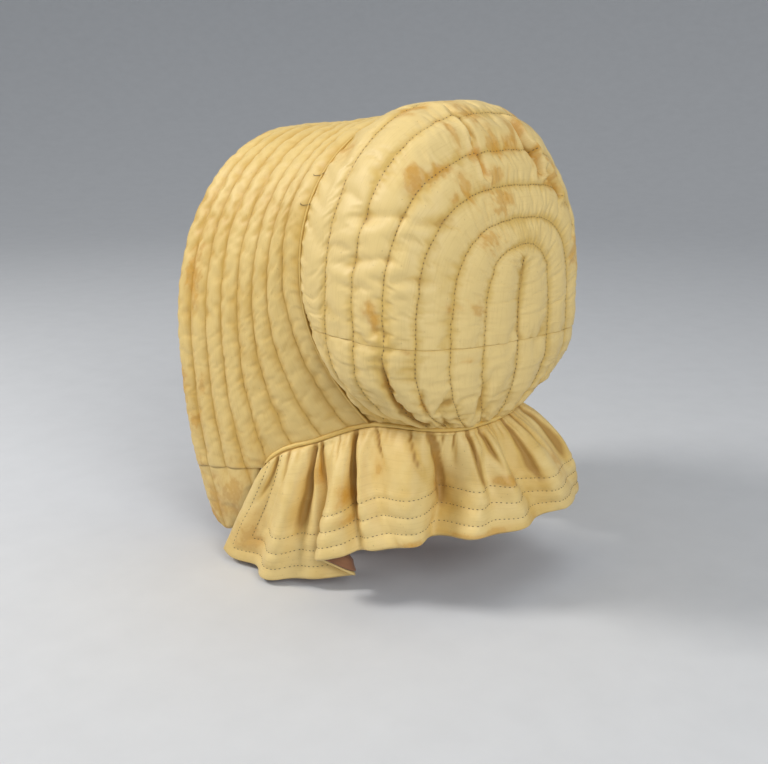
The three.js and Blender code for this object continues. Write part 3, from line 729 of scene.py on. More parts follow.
def settle(points, out, held, growth, air):
    """Moves of a grid of cloth: held points stay, the rest is growth too large and pushed by
    air. No point moves further than the largest move."""
    numbers = np.arange(points[..., 0].size).reshape(points.shape[:2])
    faces = grid_faces(numbers)
    flat = points.reshape(-1, 3) * RUN_SCALE
    sample = np.cross(flat[faces[:, 1]] - flat[faces[:, 0]], flat[faces[:, 3]] - flat[faces[:, 0]])
    if np.sum(sample * out.reshape(-1, 3)[faces[:, 0]]) < 0:
        faces = faces[:, ::-1]
    mesh = bpy.data.meshes.new("cloth_run")
    mesh.from_pydata(flat.tolist(), [], faces.tolist())
    run = bpy.data.objects.new("cloth_run", mesh)
    bpy.context.scene.collection.objects.link(run)
    group = run.vertex_groups.new(name="held")
    group.add(np.flatnonzero(held.ravel()).tolist(), 1.0, "REPLACE")
    cloth = run.modifiers.new("Cloth", "CLOTH")
    silk = cloth.settings
    silk.vertex_group_mass = "held"
    silk.quality = 6
    silk.mass = 0.2
    silk.tension_stiffness = silk.compression_stiffness = 25
    silk.shear_stiffness = 8
    silk.bending_stiffness = 0.4
    silk.air_damping = 2
    silk.shrink_min = -growth
    silk.use_pressure = True
    silk.uniform_pressure_force = air
    silk.effector_weights.gravity = 0
    cloth.collision_settings.use_collision = False
    cloth.point_cache.frame_end = RUN_FRAMES
    for number in range(1, RUN_FRAMES + 1):
        bpy.context.scene.frame_set(number)
    settled = run.evaluated_get(bpy.context.evaluated_depsgraph_get()).data
    moved = np.empty(flat.size, np.float32)
    settled.vertices.foreach_get("co", moved)
    moves = (moved.reshape(flat.shape) - flat) / RUN_SCALE
    bpy.data.objects.remove(run)
    bpy.data.meshes.remove(mesh)
    bpy.context.scene.frame_set(1)
    length = np.linalg.norm(moves, axis=-1, keepdims=True)
    moves = moves * np.minimum(1, LARGEST_MOVE / np.maximum(length, 1e-9))
    print("cloth run:", len(flat), "points, mean move", round(float(length.mean()) / MM, 2), "mm, largest",
          round(float(length.max()) / MM, 2), "mm")
    return moves.reshape(points.shape)


# %% [markdown]
# ## The pads of brim and crown
# A quilted wall is one pad. It is drawn by a map from two plain parameters, a along the rows and b
# along the columns, to a line number and a turn. The same map gives the coarse grid of the cloth
# run and the fine grid of the piece. The outer side follows relief and cloth run, the inner side
# stays plain. A sewn border rolls down a little to its seam, and a free edge rolls right in to the lining.

# %% Build a quilted pad
def near_edges(values, length):
    """Adds values 0.12, 0.3, 0.6 and 1 mm inside both ends of a span of that length."""
    extra = np.array([0.12, 0.3, 0.6, 1.0]) * MM / length * abs(values[-1] - values[0])
    way = np.sign(values[-1] - values[0])
    added = np.concatenate([values, values[0] + way * extra, values[-1] - way * extra])
    return np.unique(added) if way > 0 else np.unique(added)[::-1]


def near_lines(first, last, count):
    """Line numbers in equal parts, drawn closer to the whole numbers: s − 0.09 sin 2πs."""
    s = np.linspace(first, last, int(round(abs(last - first) * count)) + 1)
    return s - 0.09 * np.sin(2 * np.pi * s)


SEAM_SHADE_WIDTH, CREASE_SHADE_DEPTH, RISE_SHADE = 3 * MM, 5.5 * MM, 3 * MM
HELD_WIDTH = 0.02


def quilted(name, place, fine, coarse, rib, rolls, sinks, run, materials, node, folded=False):
    """Builds a pad from its map. fine and coarse are pairs of parameter lists, rolls the radius of
    each border, sinks the depth of each seam, run the share of growth and the air of the cloth run."""
    growth, air = run
    line, turn = place(coarse[0][:, None], coarse[1][None, :])
    out = directions(line, turn)[2]
    start = plain_point(line, turn) + out * relief(line, turn, rib)[..., None]
    held = np.abs(line - np.rint(line)) < HELD_WIDTH
    held[:, [0, -1]], held[[0, -1]] = True, True
    moves = settle(start, out, held, growth, air)
    moves = np.einsum("ai,ijk,bj->abk", reading(coarse[0], fine[0]), moves, reading(coarse[1], fine[1]))

    line, turn = place(fine[0][:, None], fine[1][None, :])
    base, out = plain_point(line, turn), directions(line, turn)[2]
    risen = seat(base, rolls)
    lift = relief(line, turn, rib)
    high, low = sewn_heights(base, lift, rolls, sinks)
    outer = base + out * high[..., None] + moves * risen[..., None]
    inner = base + out * low[..., None]
    if folded:
        half = line.shape[1] // 2
        for layer in (outer, inner):
            layer[-1, half + 1:] = layer[-1, :half][::-1] * [-1, 1, 1]
            layer[-1, :, 0] = 0
    # Painted light and shade: this value is high on top of a pad and where the cloth run lifts it, and low
    # in a valley, in a crease, beside the lower seam and at the sewn borders, which the silk paints in
    # shade.
    rise = (moves * out).sum(-1)
    wave = np.abs(np.sin(np.pi * wandering(line, turn))) ** PUFF_POWER
    beside_seam = np.exp(-np.abs(line - SEAM_LINE) * LINE_PITCH / SEAM_SHADE_WIDTH)
    beside_seam = beside_seam * smooth(0.9, 1.3, np.abs(turn))
    sunken = np.minimum(creased(line, turn), 0) / CREASE_SHADE_DEPTH - 0.5 * beside_seam
    ridge_and_shade = np.clip(wave * 0.75 + rise / RISE_SHADE + 0.1 + sunken, -0.3, 1)
    facts = {"ridge_and_shade": ridge_and_shade * (0.4 + 0.6 * risen), "stain_and_shade": stains_and_shade(line, turn)}
    cloth = np.stack([turn * TURN_LENGTH, line * LINE_PITCH], -1)
    piece = pad(name, outer, inner, cloth, facts, materials, folded)
    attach(piece, "root")
    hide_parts(node)


HAIR, SEAM_ROOM = 0.015 * MM, 0.04 * MM
CORNER_TURN = 100 * MM


def edge_of_seam(turn, way):
    """The line number at which a wall stops short of line 8, by a hair under the cord."""
    across = directions(SEAM_LINE + way * 0.05, turn)[0]
    return SEAM_LINE + way * SEAM_ROOM / np.linalg.norm(across, axis=-1)


def corner_top(line):
    """The turn of the level seam across the brim's corner."""
    height = CORNER_SEAM_Z[0] + (CORNER_SEAM_Z[1] - CORNER_SEAM_Z[0]) * line / CORNER_END_LINE
    return turn_at_height(line, height)


BRIM_RUN, CORNER_RUN, CROWN_RUN = (0.012, 0.4), (0.01, 0.3), (0.028, 0.5)
SEAM_ROLL, PIECED_ROLL, EDGE_ROLL, NECK_ROLL = 1.1 * MM, 0.5 * MM, 2.8 * MM, 1.2 * MM
SEAM_SINK, PIECED_SINK = 0.6 * MM, 0.3 * MM


def brim_place(a, b):
    """a is the line; b is 0 at the apex, ±1 at the side points and ±2 at the lowest turn."""
    a, b = np.broadcast_arrays(a, b)
    top = corner_top(a)
    lowest = np.where(top < 2, top - HAIR / CORNER_TURN, 2)
    beyond = np.maximum(np.abs(b) - 1, 0)
    turn = np.sign(b) * (np.minimum(np.abs(b), 1) + beyond * (lowest - 1))
    line = np.where(a > SEAM_LINE - 0.001, edge_of_seam(turn, -1), a)
    return line, turn


quilted(
    "brim_quilted", brim_place,
    (near_lines(0, SEAM_LINE, 12), near_edges(np.linspace(-2, 2, 431), 600 * MM)),
    (np.linspace(0, SEAM_LINE, 49), np.linspace(-2, 2, 221)),
    BRIM_RIB, {"first": EDGE_ROLL, "last": SEAM_ROLL, "start": PIECED_ROLL, "end": PIECED_ROLL},
    {"last": SEAM_SINK, "start": PIECED_SINK, "end": PIECED_SINK},
    BRIM_RUN, [SILK_BRIM, LINING], "brim_band",
)

# %% [markdown]
# ## The brim's corners
# Below a level seam the last bit of the brim is nearly smooth and ends in a rounded tab. The tab is
# rounded by the same turned-in border, with a larger radius at its foot.

# %% Build both corners
def corner(side, name, node):
    """The corner on one side, from the level seam down to the foot."""
    def place(a, b):
        """a is the line; b is 0 at the level seam and 1 at the foot."""
        a, b = np.broadcast_arrays(a, b)
        top = corner_top(a) + HAIR / CORNER_TURN
        return a, side * (top + (2 - top) * b)

    quilted(
        name, place,
        (np.linspace(0, CORNER_END_LINE, 45), near_edges(np.linspace(0, 1, 49), 50 * MM)),
        (np.linspace(0, CORNER_END_LINE, 23), np.linspace(0, 1, 25)),
        CORNER_RIB, {"first": EDGE_ROLL, "last": EDGE_ROLL, "start": PIECED_ROLL, "end": EDGE_ROLL},
        {"start": PIECED_SINK}, CORNER_RUN, [SILK_BRIM, LINING], node,
    )


corner(1, "brim_corner_left_quilted", "brim_corner_left")
corner(-1, "brim_corner_right_quilted", "brim_corner_right")

# %% [markdown]
# ## The crown
# The crown is one bag, but its maker had to piece it: a level seam runs round it, lower on the
# wearer's right. The part above the seam is a single grid that is folded at the centre back, where
# the left and the right half of the last row are the same points. The part below runs round the back.

# %% Build the crown
def piecing_turn(line, side):
    """The turn of the level seam in the crown, on the side of +1 or −1."""
    return turn_at_height(line, read_table(CROWN_PIECING, 1, side * (BACK_LINE - line)))


def shifted(line, turn, distance):
    """A turn moved by a distance along its line."""
    return turn + distance / np.linalg.norm(directions(line, turn)[1], axis=-1)


def upper_place(a, b):
    """a is the line; b is 0 at the apex and ±1 at the level seam."""
    a, b = np.broadcast_arrays(a, b)
    side = np.where(b >= 0, 1.0, -1.0)
    turn = b * shifted(a, piecing_turn(a, side), -HAIR)
    line = np.where(a < SEAM_LINE + 0.001, edge_of_seam(turn, 1), a)
    return line, turn


def lower_place(a, b):
    """a is the station round the back, from 7 to −7; b is 0 at the level seam and 1 at the foot."""
    a, b = np.broadcast_arrays(a, b)
    side = np.where(a >= 0, 1.0, -1.0)
    line = BACK_LINE - np.abs(a)
    top = shifted(line, piecing_turn(line, side), HAIR)
    turn = side * (top + (2 - top) * b)
    return np.where(line < SEAM_LINE + 0.001, edge_of_seam(turn, 1), line), turn


CROWN_SPAN = BACK_LINE - SEAM_LINE
quilted(
    "crown_upper_quilted", upper_place,
    (near_lines(SEAM_LINE, BACK_LINE, 14), near_edges(np.linspace(-1, 1, 501), 480 * MM)),
    (np.linspace(SEAM_LINE, BACK_LINE, 57), np.linspace(-1, 1, 201)),
    CROWN_RIB, {"first": SEAM_ROLL, "start": PIECED_ROLL, "end": PIECED_ROLL},
    {"first": SEAM_SINK, "start": PIECED_SINK, "end": PIECED_SINK},
    CROWN_RUN, [SILK_CROWN, LINING], "crown_upper", folded=True,
)
quilted(
    "crown_lower_quilted", lower_place,
    (near_lines(CROWN_SPAN, -CROWN_SPAN, 14), near_edges(np.linspace(0, 1, 71), 65 * MM)),
    (np.linspace(CROWN_SPAN, -CROWN_SPAN, 113), np.linspace(0, 1, 28)),
    CROWN_RIB, {"first": SEAM_ROLL, "last": SEAM_ROLL, "start": PIECED_ROLL, "end": NECK_ROLL},
    {"first": SEAM_SINK, "last": SEAM_SINK, "start": PIECED_SINK, "end": SEAM_SINK},
    CROWN_RUN, [SILK_CROWN, LINING], "crown_lower",
)

# %% [markdown]
# ## Cords in the seams
# A piped seam holds a cord in a strip of bias-cut silk. Each cord is a tube carried along its seam:
# at each step a circle lies in the plane across the path. Its radius swells and shrinks a little,
# because the strip is drawn tight by the stitches, and both ends round off to a point.

# %% Carry a circle along a path
def tube(name, path, reference, radius, sides, materials):
    """A closed tube: centre + radius (cos a · side + sin a · up). The radius follows the square
    root of 1 − (1 − s)² over the first and last 1.2 radii of length, which rounds the ends."""
    tangent = unit(np.gradient(path, axis=0))
    side = unit(np.cross(reference, tangent))
    up = np.cross(tangent, side)
    length = run_length(path)
    to_end = np.clip(np.minimum(length, length[-1] - length) / (1.2 * radius), 0, 1)
    angle = np.arange(sides) * 2 * np.pi / sides
    tight = 1 + 0.07 * noise(length[:, None] / (2.3 * MM) + angle * 0.5, np.cos(angle) * 1.5, 81)
    swell = radius * np.maximum(np.sqrt(1 - (1 - to_end) ** 2), 0.02)[:, None] * tight
    ring = np.cos(angle)[:, None] * side[:, None] + np.sin(angle)[:, None] * up[:, None]
    points = path[:, None] + ring * swell[..., None]
    numbers = np.arange(len(path) * sides).reshape(len(path), sides)
    numbers = np.concatenate([numbers, numbers[:, :1]], axis=1)
    faces = grid_faces(numbers)
    u = np.broadcast_to(length[:, None], (len(path), sides + 1))
    v = np.broadcast_to(np.arange(sides + 1) * 2 * np.pi * radius / sides, (len(path), sides + 1))
    cloth = np.stack([u + v, v], -1).reshape(-1, 2)
    own = np.arange(len(path) * (sides + 1)).reshape(len(path), sides + 1)
    facts = {
        # Painted light: the value rises to 0.9 on the cord's outward half, so that half is painted paler
        # and the inward half darker.
        "ridge_and_shade": (0.35 + 0.55 * np.clip(np.sin(angle), 0, 1) * np.ones((len(path), 1))).ravel(),
        "stain_and_shade": np.zeros(len(path) * sides),
    }
    cloth = cloth[grid_faces(own)]
    piece = new_piece(name, points.reshape(-1, 3), faces, None, cloth, facts, materials)
    close_holes(piece)
    return piece


def close_holes(piece):
    """Fills the open ring at each end of a tube with one face."""
    shell = bmesh.new()
    shell.from_mesh(piece.data)
    bmesh.ops.holes_fill(shell, edges=[e for e in shell.edges if e.is_boundary], sides=0)
    shell.to_mesh(piece.data)
    shell.free()


def along_path(points, step):
    """Points at equal distances along a path, and the share of its length at each."""
    length = run_length(points)
    wanted = np.linspace(0, length[-1], int(length[-1] / step) + 1)
    return read_path(points, length, wanted), wanted / length[-1]


NECK_CORD, NECK_DROP, NECK_OUT = 1.7 * MM, 1.0 * MM, 0.35 * MM
CORD_RADIUS, CORD_LIFT, CORD_PUSH = 0.8 * MM, 0.3 * MM, 0.8 * MM
CORD_SHIFT = 0.035


def neck_cord_point(station):
    """Centre of the neck cord: close below the foot of the line."""
    station = np.asarray(station, float)
    line = BACK_LINE - np.abs(station)
    turn = np.where(station >= 0, 2.0, -2.0)
    _, along, out = directions(line, turn)
    down = unit(along)
    down = down * -np.sign(down[..., 2:])
    return plain_point(line, turn) + down * NECK_DROP + out * NECK_OUT


NECK_END = BACK_LINE - NECK_LINE
neck_stations = np.linspace(NECK_END, -NECK_END, 600)
neck_path, neck_share = along_path(neck_cord_point(neck_stations), 0.8 * MM)
neck_out = directions(BACK_LINE - np.abs(NECK_END * (1 - 2 * neck_share)),
                      np.where(neck_share < 0.5, 2.0, -2.0))[2]
NECK_PIPING = tube("neck_piping_cord", neck_path, neck_out, NECK_CORD, 14, [SILK_PIPING])

seam_turns = np.linspace(1.99, -1.99, 900)
seam_out = directions(SEAM_LINE, seam_turns)[2]
# In its lower part the crown bulges over the seam and pushes the cord up on to the brim's edge.
pushed = smooth(1.0, 1.4, np.abs(seam_turns))
seam_lift = CORD_LIFT + CORD_PUSH * pushed
seam_path = plain_point(SEAM_LINE - CORD_SHIFT * pushed, seam_turns) + seam_out * seam_lift[:, None]
CROWN_PIPING = tube("crown_piping_cord", seam_path, seam_out, CORD_RADIUS, 10, [SILK_PIPING])
for cord_piece, cord_node in ((NECK_PIPING, "neck_piping"), (CROWN_PIPING, "crown_piping")):
    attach(cord_piece, "root")
    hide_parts(cord_node)

# %% [markdown]
# ## The neck curtain
# The curtain is a straight strip, gathered to the neck and left loose at the hem. Its folds are too
# particular for a formula alone, so a table gives each ridge and valley of the hem, in order round
# the neck. Every vertical thread then runs from the neck to its place on the hem: outwards early,
# sideways late, so that a pleat opens before it laps over its neighbour. Small gathers sit close to
# the neck, and three rows of stitching above the hem raise low pads between them.

# %% Table and surface of the curtain
CURTAIN = np.array([
    # station hemX hemY hemZ puff
    [11, 98, -118, -308, 1], [10.75, 101, -106, -310, 2], [10.4, 97, -86, -311, -1],
    [9.7, 107, -62, -311, 5], [9.3, 95, -46, -309, -2], [9.05, 90, -30, -306, 2],
    [8.82, 74, -12, -303, 0], [8.7, 79, -8, -300, 1], [8.42, 97, -24, -287, 2],
    [8.28, 103, -18, -284, 3], [8.05, 96, -5, -280, 3], [7.7, 83, 0, -278, -2],
    [7.2, 82, 12, -275, 4], [6.5, 75, 21, -273, 1], [5, 69, 37, -269, 5],
    [2.6, 47, 46, -266, -6], [2, 45, 64, -264, 4], [1.4, 27, 71, -264, -3],
    [0.9, 9, 79, -264, 4], [0.4, -10, 75, -264, -2], [-1, -40, 81, -264, 7],
    [-2.4, -62, 73, -264, 5], [-3.4, -76, 65, -265, 9], [-4.5, -76, 44, -267, 1],
    [-5.5, -87, 30, -270, 4], [-6.5, -82, 12, -274, -1], [-7.4, -92, -4, -280, 2],
    [-8.1, -86, -22, -288, -1], [-8.7, -98, -38, -300, 4], [-9.4, -90, -56, -306, -3],
    [-10, -105, -72, -310, 4], [-10.5, -97, -92, -310, -1], [-11, -98, -118, -308, 1],
], float)
CURTAIN[:, 1:] *= MM
OUT_POWER, SWING_POWER, FRONT_SWING = 0.7, 1.8, 1.0
LIFT_FRONT, LIFT_BACK = 4.6 * MM, 0.6 * MM
CURTAIN_CLOTH, LINING_CLOTH, LINING_ROOM = 1.6 * MM, 0.9 * MM, 0.7 * MM
CORD_TO_CLOTH = NECK_CORD + CURTAIN_CLOTH / 2 + 0.1 * MM
FRONT_LIFT_STATION, FRONT_SWING_STATION = 8.5, 9.6
HEM_WINDOW = 61


def curtain_top(station):
    """Where the curtain is sewn on, and its sideways and outward directions in plan."""
    step = 0.3
    a = neck_cord_point(np.minimum(station + step, NECK_END))
    b = neck_cord_point(np.maximum(station - step, -NECK_END))
    sideways = unit((b - a) * [1, 1, 0])
    outward = -np.cross([0.0, 0.0, 1.0], sideways)
    front = smooth(FRONT_LIFT_STATION, NECK_END, np.abs(station))[..., None]
    top = neck_cord_point(station) + outward * (LIFT_BACK + (LIFT_FRONT - LIFT_BACK) * front)
    return top - [0, 0, CORD_TO_CLOTH], sideways, outward


def curtain_point(station, share):
    """Middle surface. Of the way from neck to hem, the part outwards grows with share^0.7, the
    part sideways with share^1.8, or evenly at the front ends, and the height evenly. A puff of
    sin(π share) rounds each fold."""
    station, share = np.broadcast_arrays(np.asarray(station, float), np.asarray(share, float))
    top, sideways, outward = curtain_top(station)
    hem = np.stack([read_table(CURTAIN, column, station) for column in (1, 2, 3)], -1)
    puff = read_table(CURTAIN, 4, station)
    drop = hem - top
    out = (drop * outward).sum(-1) * share ** OUT_POWER + puff * np.sin(np.pi * share)
    power = SWING_POWER + (FRONT_SWING - SWING_POWER) * smooth(
        FRONT_SWING_STATION, NECK_END, np.abs(station))
    swing = (drop * sideways).sum(-1) * share ** power
    fall = np.stack([0 * share, 0 * share, drop[..., 2] * share], -1)
    return top + outward * out[..., None] + sideways * swing[..., None] + fall


def curtain_out(station, share):
    """Unit normal of the curtain: the way down × the way round."""
    step = 0.03
    round_way = (curtain_point(np.maximum(station - step, -NECK_END), share)
                 - curtain_point(np.minimum(station + step, NECK_END), share))
    low, high = np.maximum(share - step, 0.0), np.minimum(share + step, 1.0)
    down_way = curtain_point(station, high) - curtain_point(station, low)
    return unit(np.cross(down_way, round_way))


def curtain_stations(pitch):
    """Stations round the neck: each fold of the table, and parts of about pitch between two."""
    knots = CURTAIN[:, 0]
    gaps = np.linalg.norm(np.diff(CURTAIN[:, 1:4], axis=0), axis=-1)
    counts = np.maximum(1, np.rint(gaps / pitch)).astype(int)
    parts = [np.linspace(a, b, n + 1)[1:] for a, b, n in zip(knots[:-1], knots[1:], counts)]
    return np.concatenate([knots[:1], *parts])


def hem_distance(points, shares):
    """Distance to the hem in the flat cloth: the share that is left × the drop, averaged over a
    window of columns, because a fold bends the strip but doesn't change its width."""
    span = shares[0, -1] - shares[0, 0]
    drop = border_distance(points, "end")[:, 0] / span
    window = np.ones(HEM_WINDOW) / HEM_WINDOW
    even = np.convolve(np.pad(drop, HEM_WINDOW // 2, mode="edge"), window, mode="valid")
    return even[:, None] * (1 - shares)


ROW_PITCH, ROW_FIRST, ROW_COUNT = 11.5 * MM, 9.5 * MM, 3
hem_stations = curtain_stations(1.5 * MM)[:, None]
hem_shares = np.linspace(0, 1, 74)[None, :]
middle = curtain_point(hem_stations, hem_shares)
curtain_normal = curtain_out(hem_stations, hem_shares)
to_hem = hem_distance(middle, hem_shares)
to_front = np.minimum(border_distance(middle, "first"), border_distance(middle, "last"))
to_edge = np.minimum(to_hem, to_front)
print("curtain: hem", round(float(border_distance(middle, "first")[-1, -1]), 3), "m, drop",
      round(float(to_hem[:, 0].mean()), 3), "m")

# %% [markdown]
# The relief of the curtain is the sum of four things: deep valleys from a table, gathers at the
# neck, pads between the rows of stitching, and slow unevenness. The rows follow the edge, so the
# distance to the nearest edge, hem or front, gives the pads their mitred corners for nothing.

# %% Build the curtain and its lining
VALLEYS = np.array([
    # station1 share1 station2 share2 halfWidth depth
    [10.35, 0.0, 10.7, 0.42, 0.06, 2.2], [9.95, 0.0, 9.98, 0.3, 0.05, 1.8],
    [9.2, 0.0, 9.37, 0.66, 0.075, 4.2], [8.97, 0.0, 8.87, 0.3, 0.05, 2.6],
    [7.66, 0.0, 7.64, 0.66, 0.08, 4.8], [8.3, 0.0, 8.25, 0.2, 0.06, 1.6],
    [6.65, 0.0, 6.0, 0.3, 0.08, 2.8], [5.1, 0.0, 4.3, 0.4, 0.09, 2.8], [4.05, 0.0, 2.75, 0.75, 0.17, 5.6],
    [3.4, 0.0, 3.2, 0.22, 0.06, 2.2], [2.8, 0.0, 2.6, 0.3, 0.06, 2.8], [2.1, 0.0, 1.7, 0.55, 0.11, 4.6],
    [1.3, 0.0, 1.0, 0.35, 0.08, 3.0], [0.5, 0.0, 0.4, 0.22, 0.07, 2.0], [-0.7, 0.0, -0.5, 0.65, 0.12, 4.0],
    [-1.6, 0.0, -1.7, 0.3, 0.1, 2.4], [-3.0, 0.0, -2.9, 0.6, 0.14, 3.8], [-4.2, 0.0, -4.3, 0.3, 0.1, 2.6],
    [-5.6, 0.0, -5.7, 0.55, 0.14, 3.4], [-7.0, 0.0, -7.1, 0.3, 0.1, 2.6], [-8.2, 0.0, -8.3, 0.6, 0.12, 3.4],
    [-9.3, 0.0, -9.5, 0.4, 0.1, 2.6], [-10.3, 0.0, -10.6, 0.4, 0.07, 2.2],
], float)
VALLEYS[:, 5] *= MM
GATHER_VALLEY, GATHER_HEIGHT = 1.0 * MM, 0.7 * MM
ROW_HEIGHT, ROW_PUCKER = 1.1 * MM, 0.45 * MM
SLOW_HEIGHT, PUFF_HEIGHT = 0.75 * MM, 0.9 * MM
CURTAIN_STAINS = np.array([
    # side station share radiusStation radiusShare strength
    [0, 7.95, 0.5, 0.2, 0.1, 0.9], [0, 7.85, 0.7, 0.3, 0.06, 0.8], [0, 6.3, 0.35, 0.3, 0.12, 0.8],
    [0, 8.9, 0.25, 0.3, 0.12, 0.6], [0, 0.9, 0.5, 0.5, 0.06, 0.9], [0, 3.6, 0.45, 0.3, 0.2, 0.6],
    [0, 10.6, 0.7, 0.3, 0.2, 0.6], [0, 5.2, 0.97, 1.4, 0.03, 0.7], [0, 2.2, 0.97, 1.2, 0.04, 0.7],
    [0, -2.0, 0.5, 0.6, 0.2, 0.6], [0, -6.5, 0.8, 0.8, 0.1, 0.6], [0, -9.5, 0.4, 0.4, 0.15, 0.6],
], float)


def curtain_relief(station, share, edge):
    """Valleys: narrow creases that run down from the neck, as deep as the table says, and soft out
    below. Gathers: a small valley at each whole value of a warped station, gone within 15 mm. Pads:
    |sin| of the distance to the edge in row pitches. The rest is low noise."""
    deep = np.zeros(np.broadcast(station, share).shape)
    for at1, down1, at2, down2, half_width, depth in VALLEYS:
        track = at1 + (at2 - at1) * np.clip((share - down1) / (down2 - down1), 0, 1.3)
        width = half_width * (1 + 2.2 * share)
        off = (station - track + 0.03 * noise(share * 9, at1, 90)) / width
        deep = deep + depth * np.exp(-np.abs(off) ** 1.5) * (1 - smooth(0.5 * down2, 1.25 * down2, share))
    count = station * 2.6 + 0.5 * noise(station * 0.9, 0.5, 91)
    small = np.exp(-((count - np.rint(count)) / 0.2) ** 2) * (1 - smooth(0.02, 0.2, share))
    gathers = GATHER_HEIGHT * noise(station * 2.9, share * 2.2, 92) * (1 - share) ** 2.2
    rows = np.abs(np.sin(np.pi * (edge - ROW_FIRST) / ROW_PITCH)) ** 0.7
    inside = 1 - smooth(ROW_FIRST + 2 * ROW_PITCH, ROW_FIRST + 2.6 * ROW_PITCH, edge)
    puckers = ROW_PUCKER * noise(station * 9, edge / PUCKER_WIDTH, 93) * inside
    slow = SLOW_HEIGHT * layered(station * 1.7 + share * 1.5, share * 3.0, 94)
    puff = PUFF_HEIGHT * (1 - share) * smooth(0, 0.12, share)
    at_neck = puff - deep - GATHER_VALLEY * small + gathers
    at_hem = ROW_HEIGHT * rows * inside + puckers * (1 - rows)
    # The second value is painted shade, darkest in the valleys and a little at the gathers.
    return at_neck + at_hem + slow, np.clip(deep / (2.5 * MM) + small * 0.4, 0, 1)


def curtain_stains(station, share):
    """Stains of the curtain."""
    return strongest(CURTAIN_STAINS, station, share, 0.6 * layered(station * 2.1, share * 6, 95))


# %% [markdown]
# The upper edge of the curtain disappears behind the cord. A few rows follow the cord's underside, on
# a circle round its centre, so the seam is closed from every side.

# %% Join the curtain to the cord
INNER_SHARE = 0.85
HEADING_ROWS, HEADING_ROLL, HEM_ROLL = 6, 0.8 * MM, 1.2 * MM
STRIP_DEPTH, STATION_PITCH = 78 * MM, 28 * MM
LINING_FROM, LINING_TO = 0.02, 0.975

lift, shade = curtain_relief(hem_stations, hem_shares, to_edge)
cord_centre = neck_cord_point(hem_stations)
heading_outward = curtain_top(hem_stations)[2]
heading_angle = np.radians(np.linspace(-15, 90, HEADING_ROWS + 1)[:-1])[:, None]
heading_way = -heading_outward * np.cos(heading_angle) - np.array([0, 0, 1.0]) * np.sin(heading_angle)
heading_lift = (middle[:, :1] - cord_centre) + [0, 0, CORD_TO_CLOTH]
heading_share = np.linspace(0, 1, HEADING_ROWS + 1)[:-1, None]
heading = cord_centre + heading_way * CORD_TO_CLOTH + heading_lift * heading_share ** 2
middle = np.concatenate([heading, middle], axis=1)
normal = unit(np.concatenate([-heading_way, curtain_normal], axis=1))
lift = np.concatenate([np.zeros(heading.shape[:2]), lift * smooth(0, 0.03, hem_shares)], axis=1)
# Painted shade: the rows that turn under the cord get full shade.
shade = np.concatenate([np.ones(heading.shape[:2]), shade], axis=1)
shares = np.concatenate([np.zeros(HEADING_ROWS), hem_shares[0]])[None, :]
risen = seat(middle, {"first": HEM_ROLL, "last": HEM_ROLL, "start": HEADING_ROLL, "end": HEM_ROLL})
curtain_outer = middle + normal * ((CURTAIN_CLOTH / 2 + lift) * risen)[..., None]
curtain_inner = middle + normal * ((lift * INNER_SHARE - CURTAIN_CLOTH / 2) * risen)[..., None]
# Painted shade: the value falls in the curtain's valleys and gathers, with a little random tone, so the
# silk paints them darker.
curtain_facts = {
    "ridge_and_shade": np.clip(0.72 - 0.85 * shade + 0.12 * noise(hem_stations * 3, shares * 5, 97), -0.2, 1),
    "stain_and_shade": curtain_stains(hem_stations, shares),
}
round_length = run_length(middle[:, -1])[:, None]
curtain_cloth = np.stack(np.broadcast_arrays(round_length, shares * STRIP_DEPTH), -1)
BAVOLET = pad("bavolet_silk", curtain_outer, curtain_inner, curtain_cloth, curtain_facts,
              [SILK_CURTAIN, SILK_CURTAIN])
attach(BAVOLET, "root")
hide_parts("bavolet")

lining_shares = np.linspace(LINING_FROM, LINING_TO, 62)[None, :]
lining_stations = curtain_stations(2 * MM)[:, None]
lining_middle = curtain_point(lining_stations, lining_shares)
lining_normal = curtain_out(lining_stations, lining_shares)
lining_depth = CURTAIN_CLOTH / 2 + LINING_ROOM + LINING_CLOTH / 2
lining_edge = np.minimum(hem_distance(lining_middle, lining_shares), np.minimum(
    border_distance(lining_middle, "first"), border_distance(lining_middle, "last")))
lining_lift = curtain_relief(lining_stations, lining_shares, lining_edge)[0]
lining_risen = seat(lining_middle, {side: HEM_ROLL for side in ("first", "last", "start", "end")})
lining_face = INNER_SHARE * lining_lift - lining_depth + (LINING_CLOTH / 2) * lining_risen
lining_back = INNER_SHARE * lining_lift - lining_depth - (LINING_CLOTH / 2) * lining_risen
lining_cloth = np.stack(
    np.broadcast_arrays(lining_stations * STATION_PITCH, lining_shares * STRIP_DEPTH), -1)
BAVOLET_LINING = pad(
    "bavolet_lining_brown",
    lining_middle + lining_normal * lining_face[..., None],
    lining_middle + lining_normal * lining_back[..., None],
    lining_cloth,
    {"ridge_and_shade": np.full(lining_face.shape, 0.5)},
    [LINING, LINING],
)
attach(BAVOLET_LINING, "root")
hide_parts("bavolet_lining")
print("lining: hem", round(float(border_distance(lining_middle, "first")[-1, -1]), 3), "m, drop",
      round(float(hem_distance(lining_middle, lining_shares)[:, 0].mean()), 3), "m")

# %% [markdown]
# ## Running stitch
# Each stitch is a tiny bead of thread that dips into the cloth at both ends. One bead is worked out
# once, as a few rings of six points, and copied to every place along a line by broadcasting.

# %% Lay stitches along a path
# pitch, length and radius of the stitches
BRIM_STITCH = (3.1 * MM, 1.5 * MM, 0.2 * MM)
CROWN_STITCH = (3.0 * MM, 1.35 * MM, 0.27 * MM)
CURTAIN_STITCH = (3.2 * MM, 1.4 * MM, 0.22 * MM)


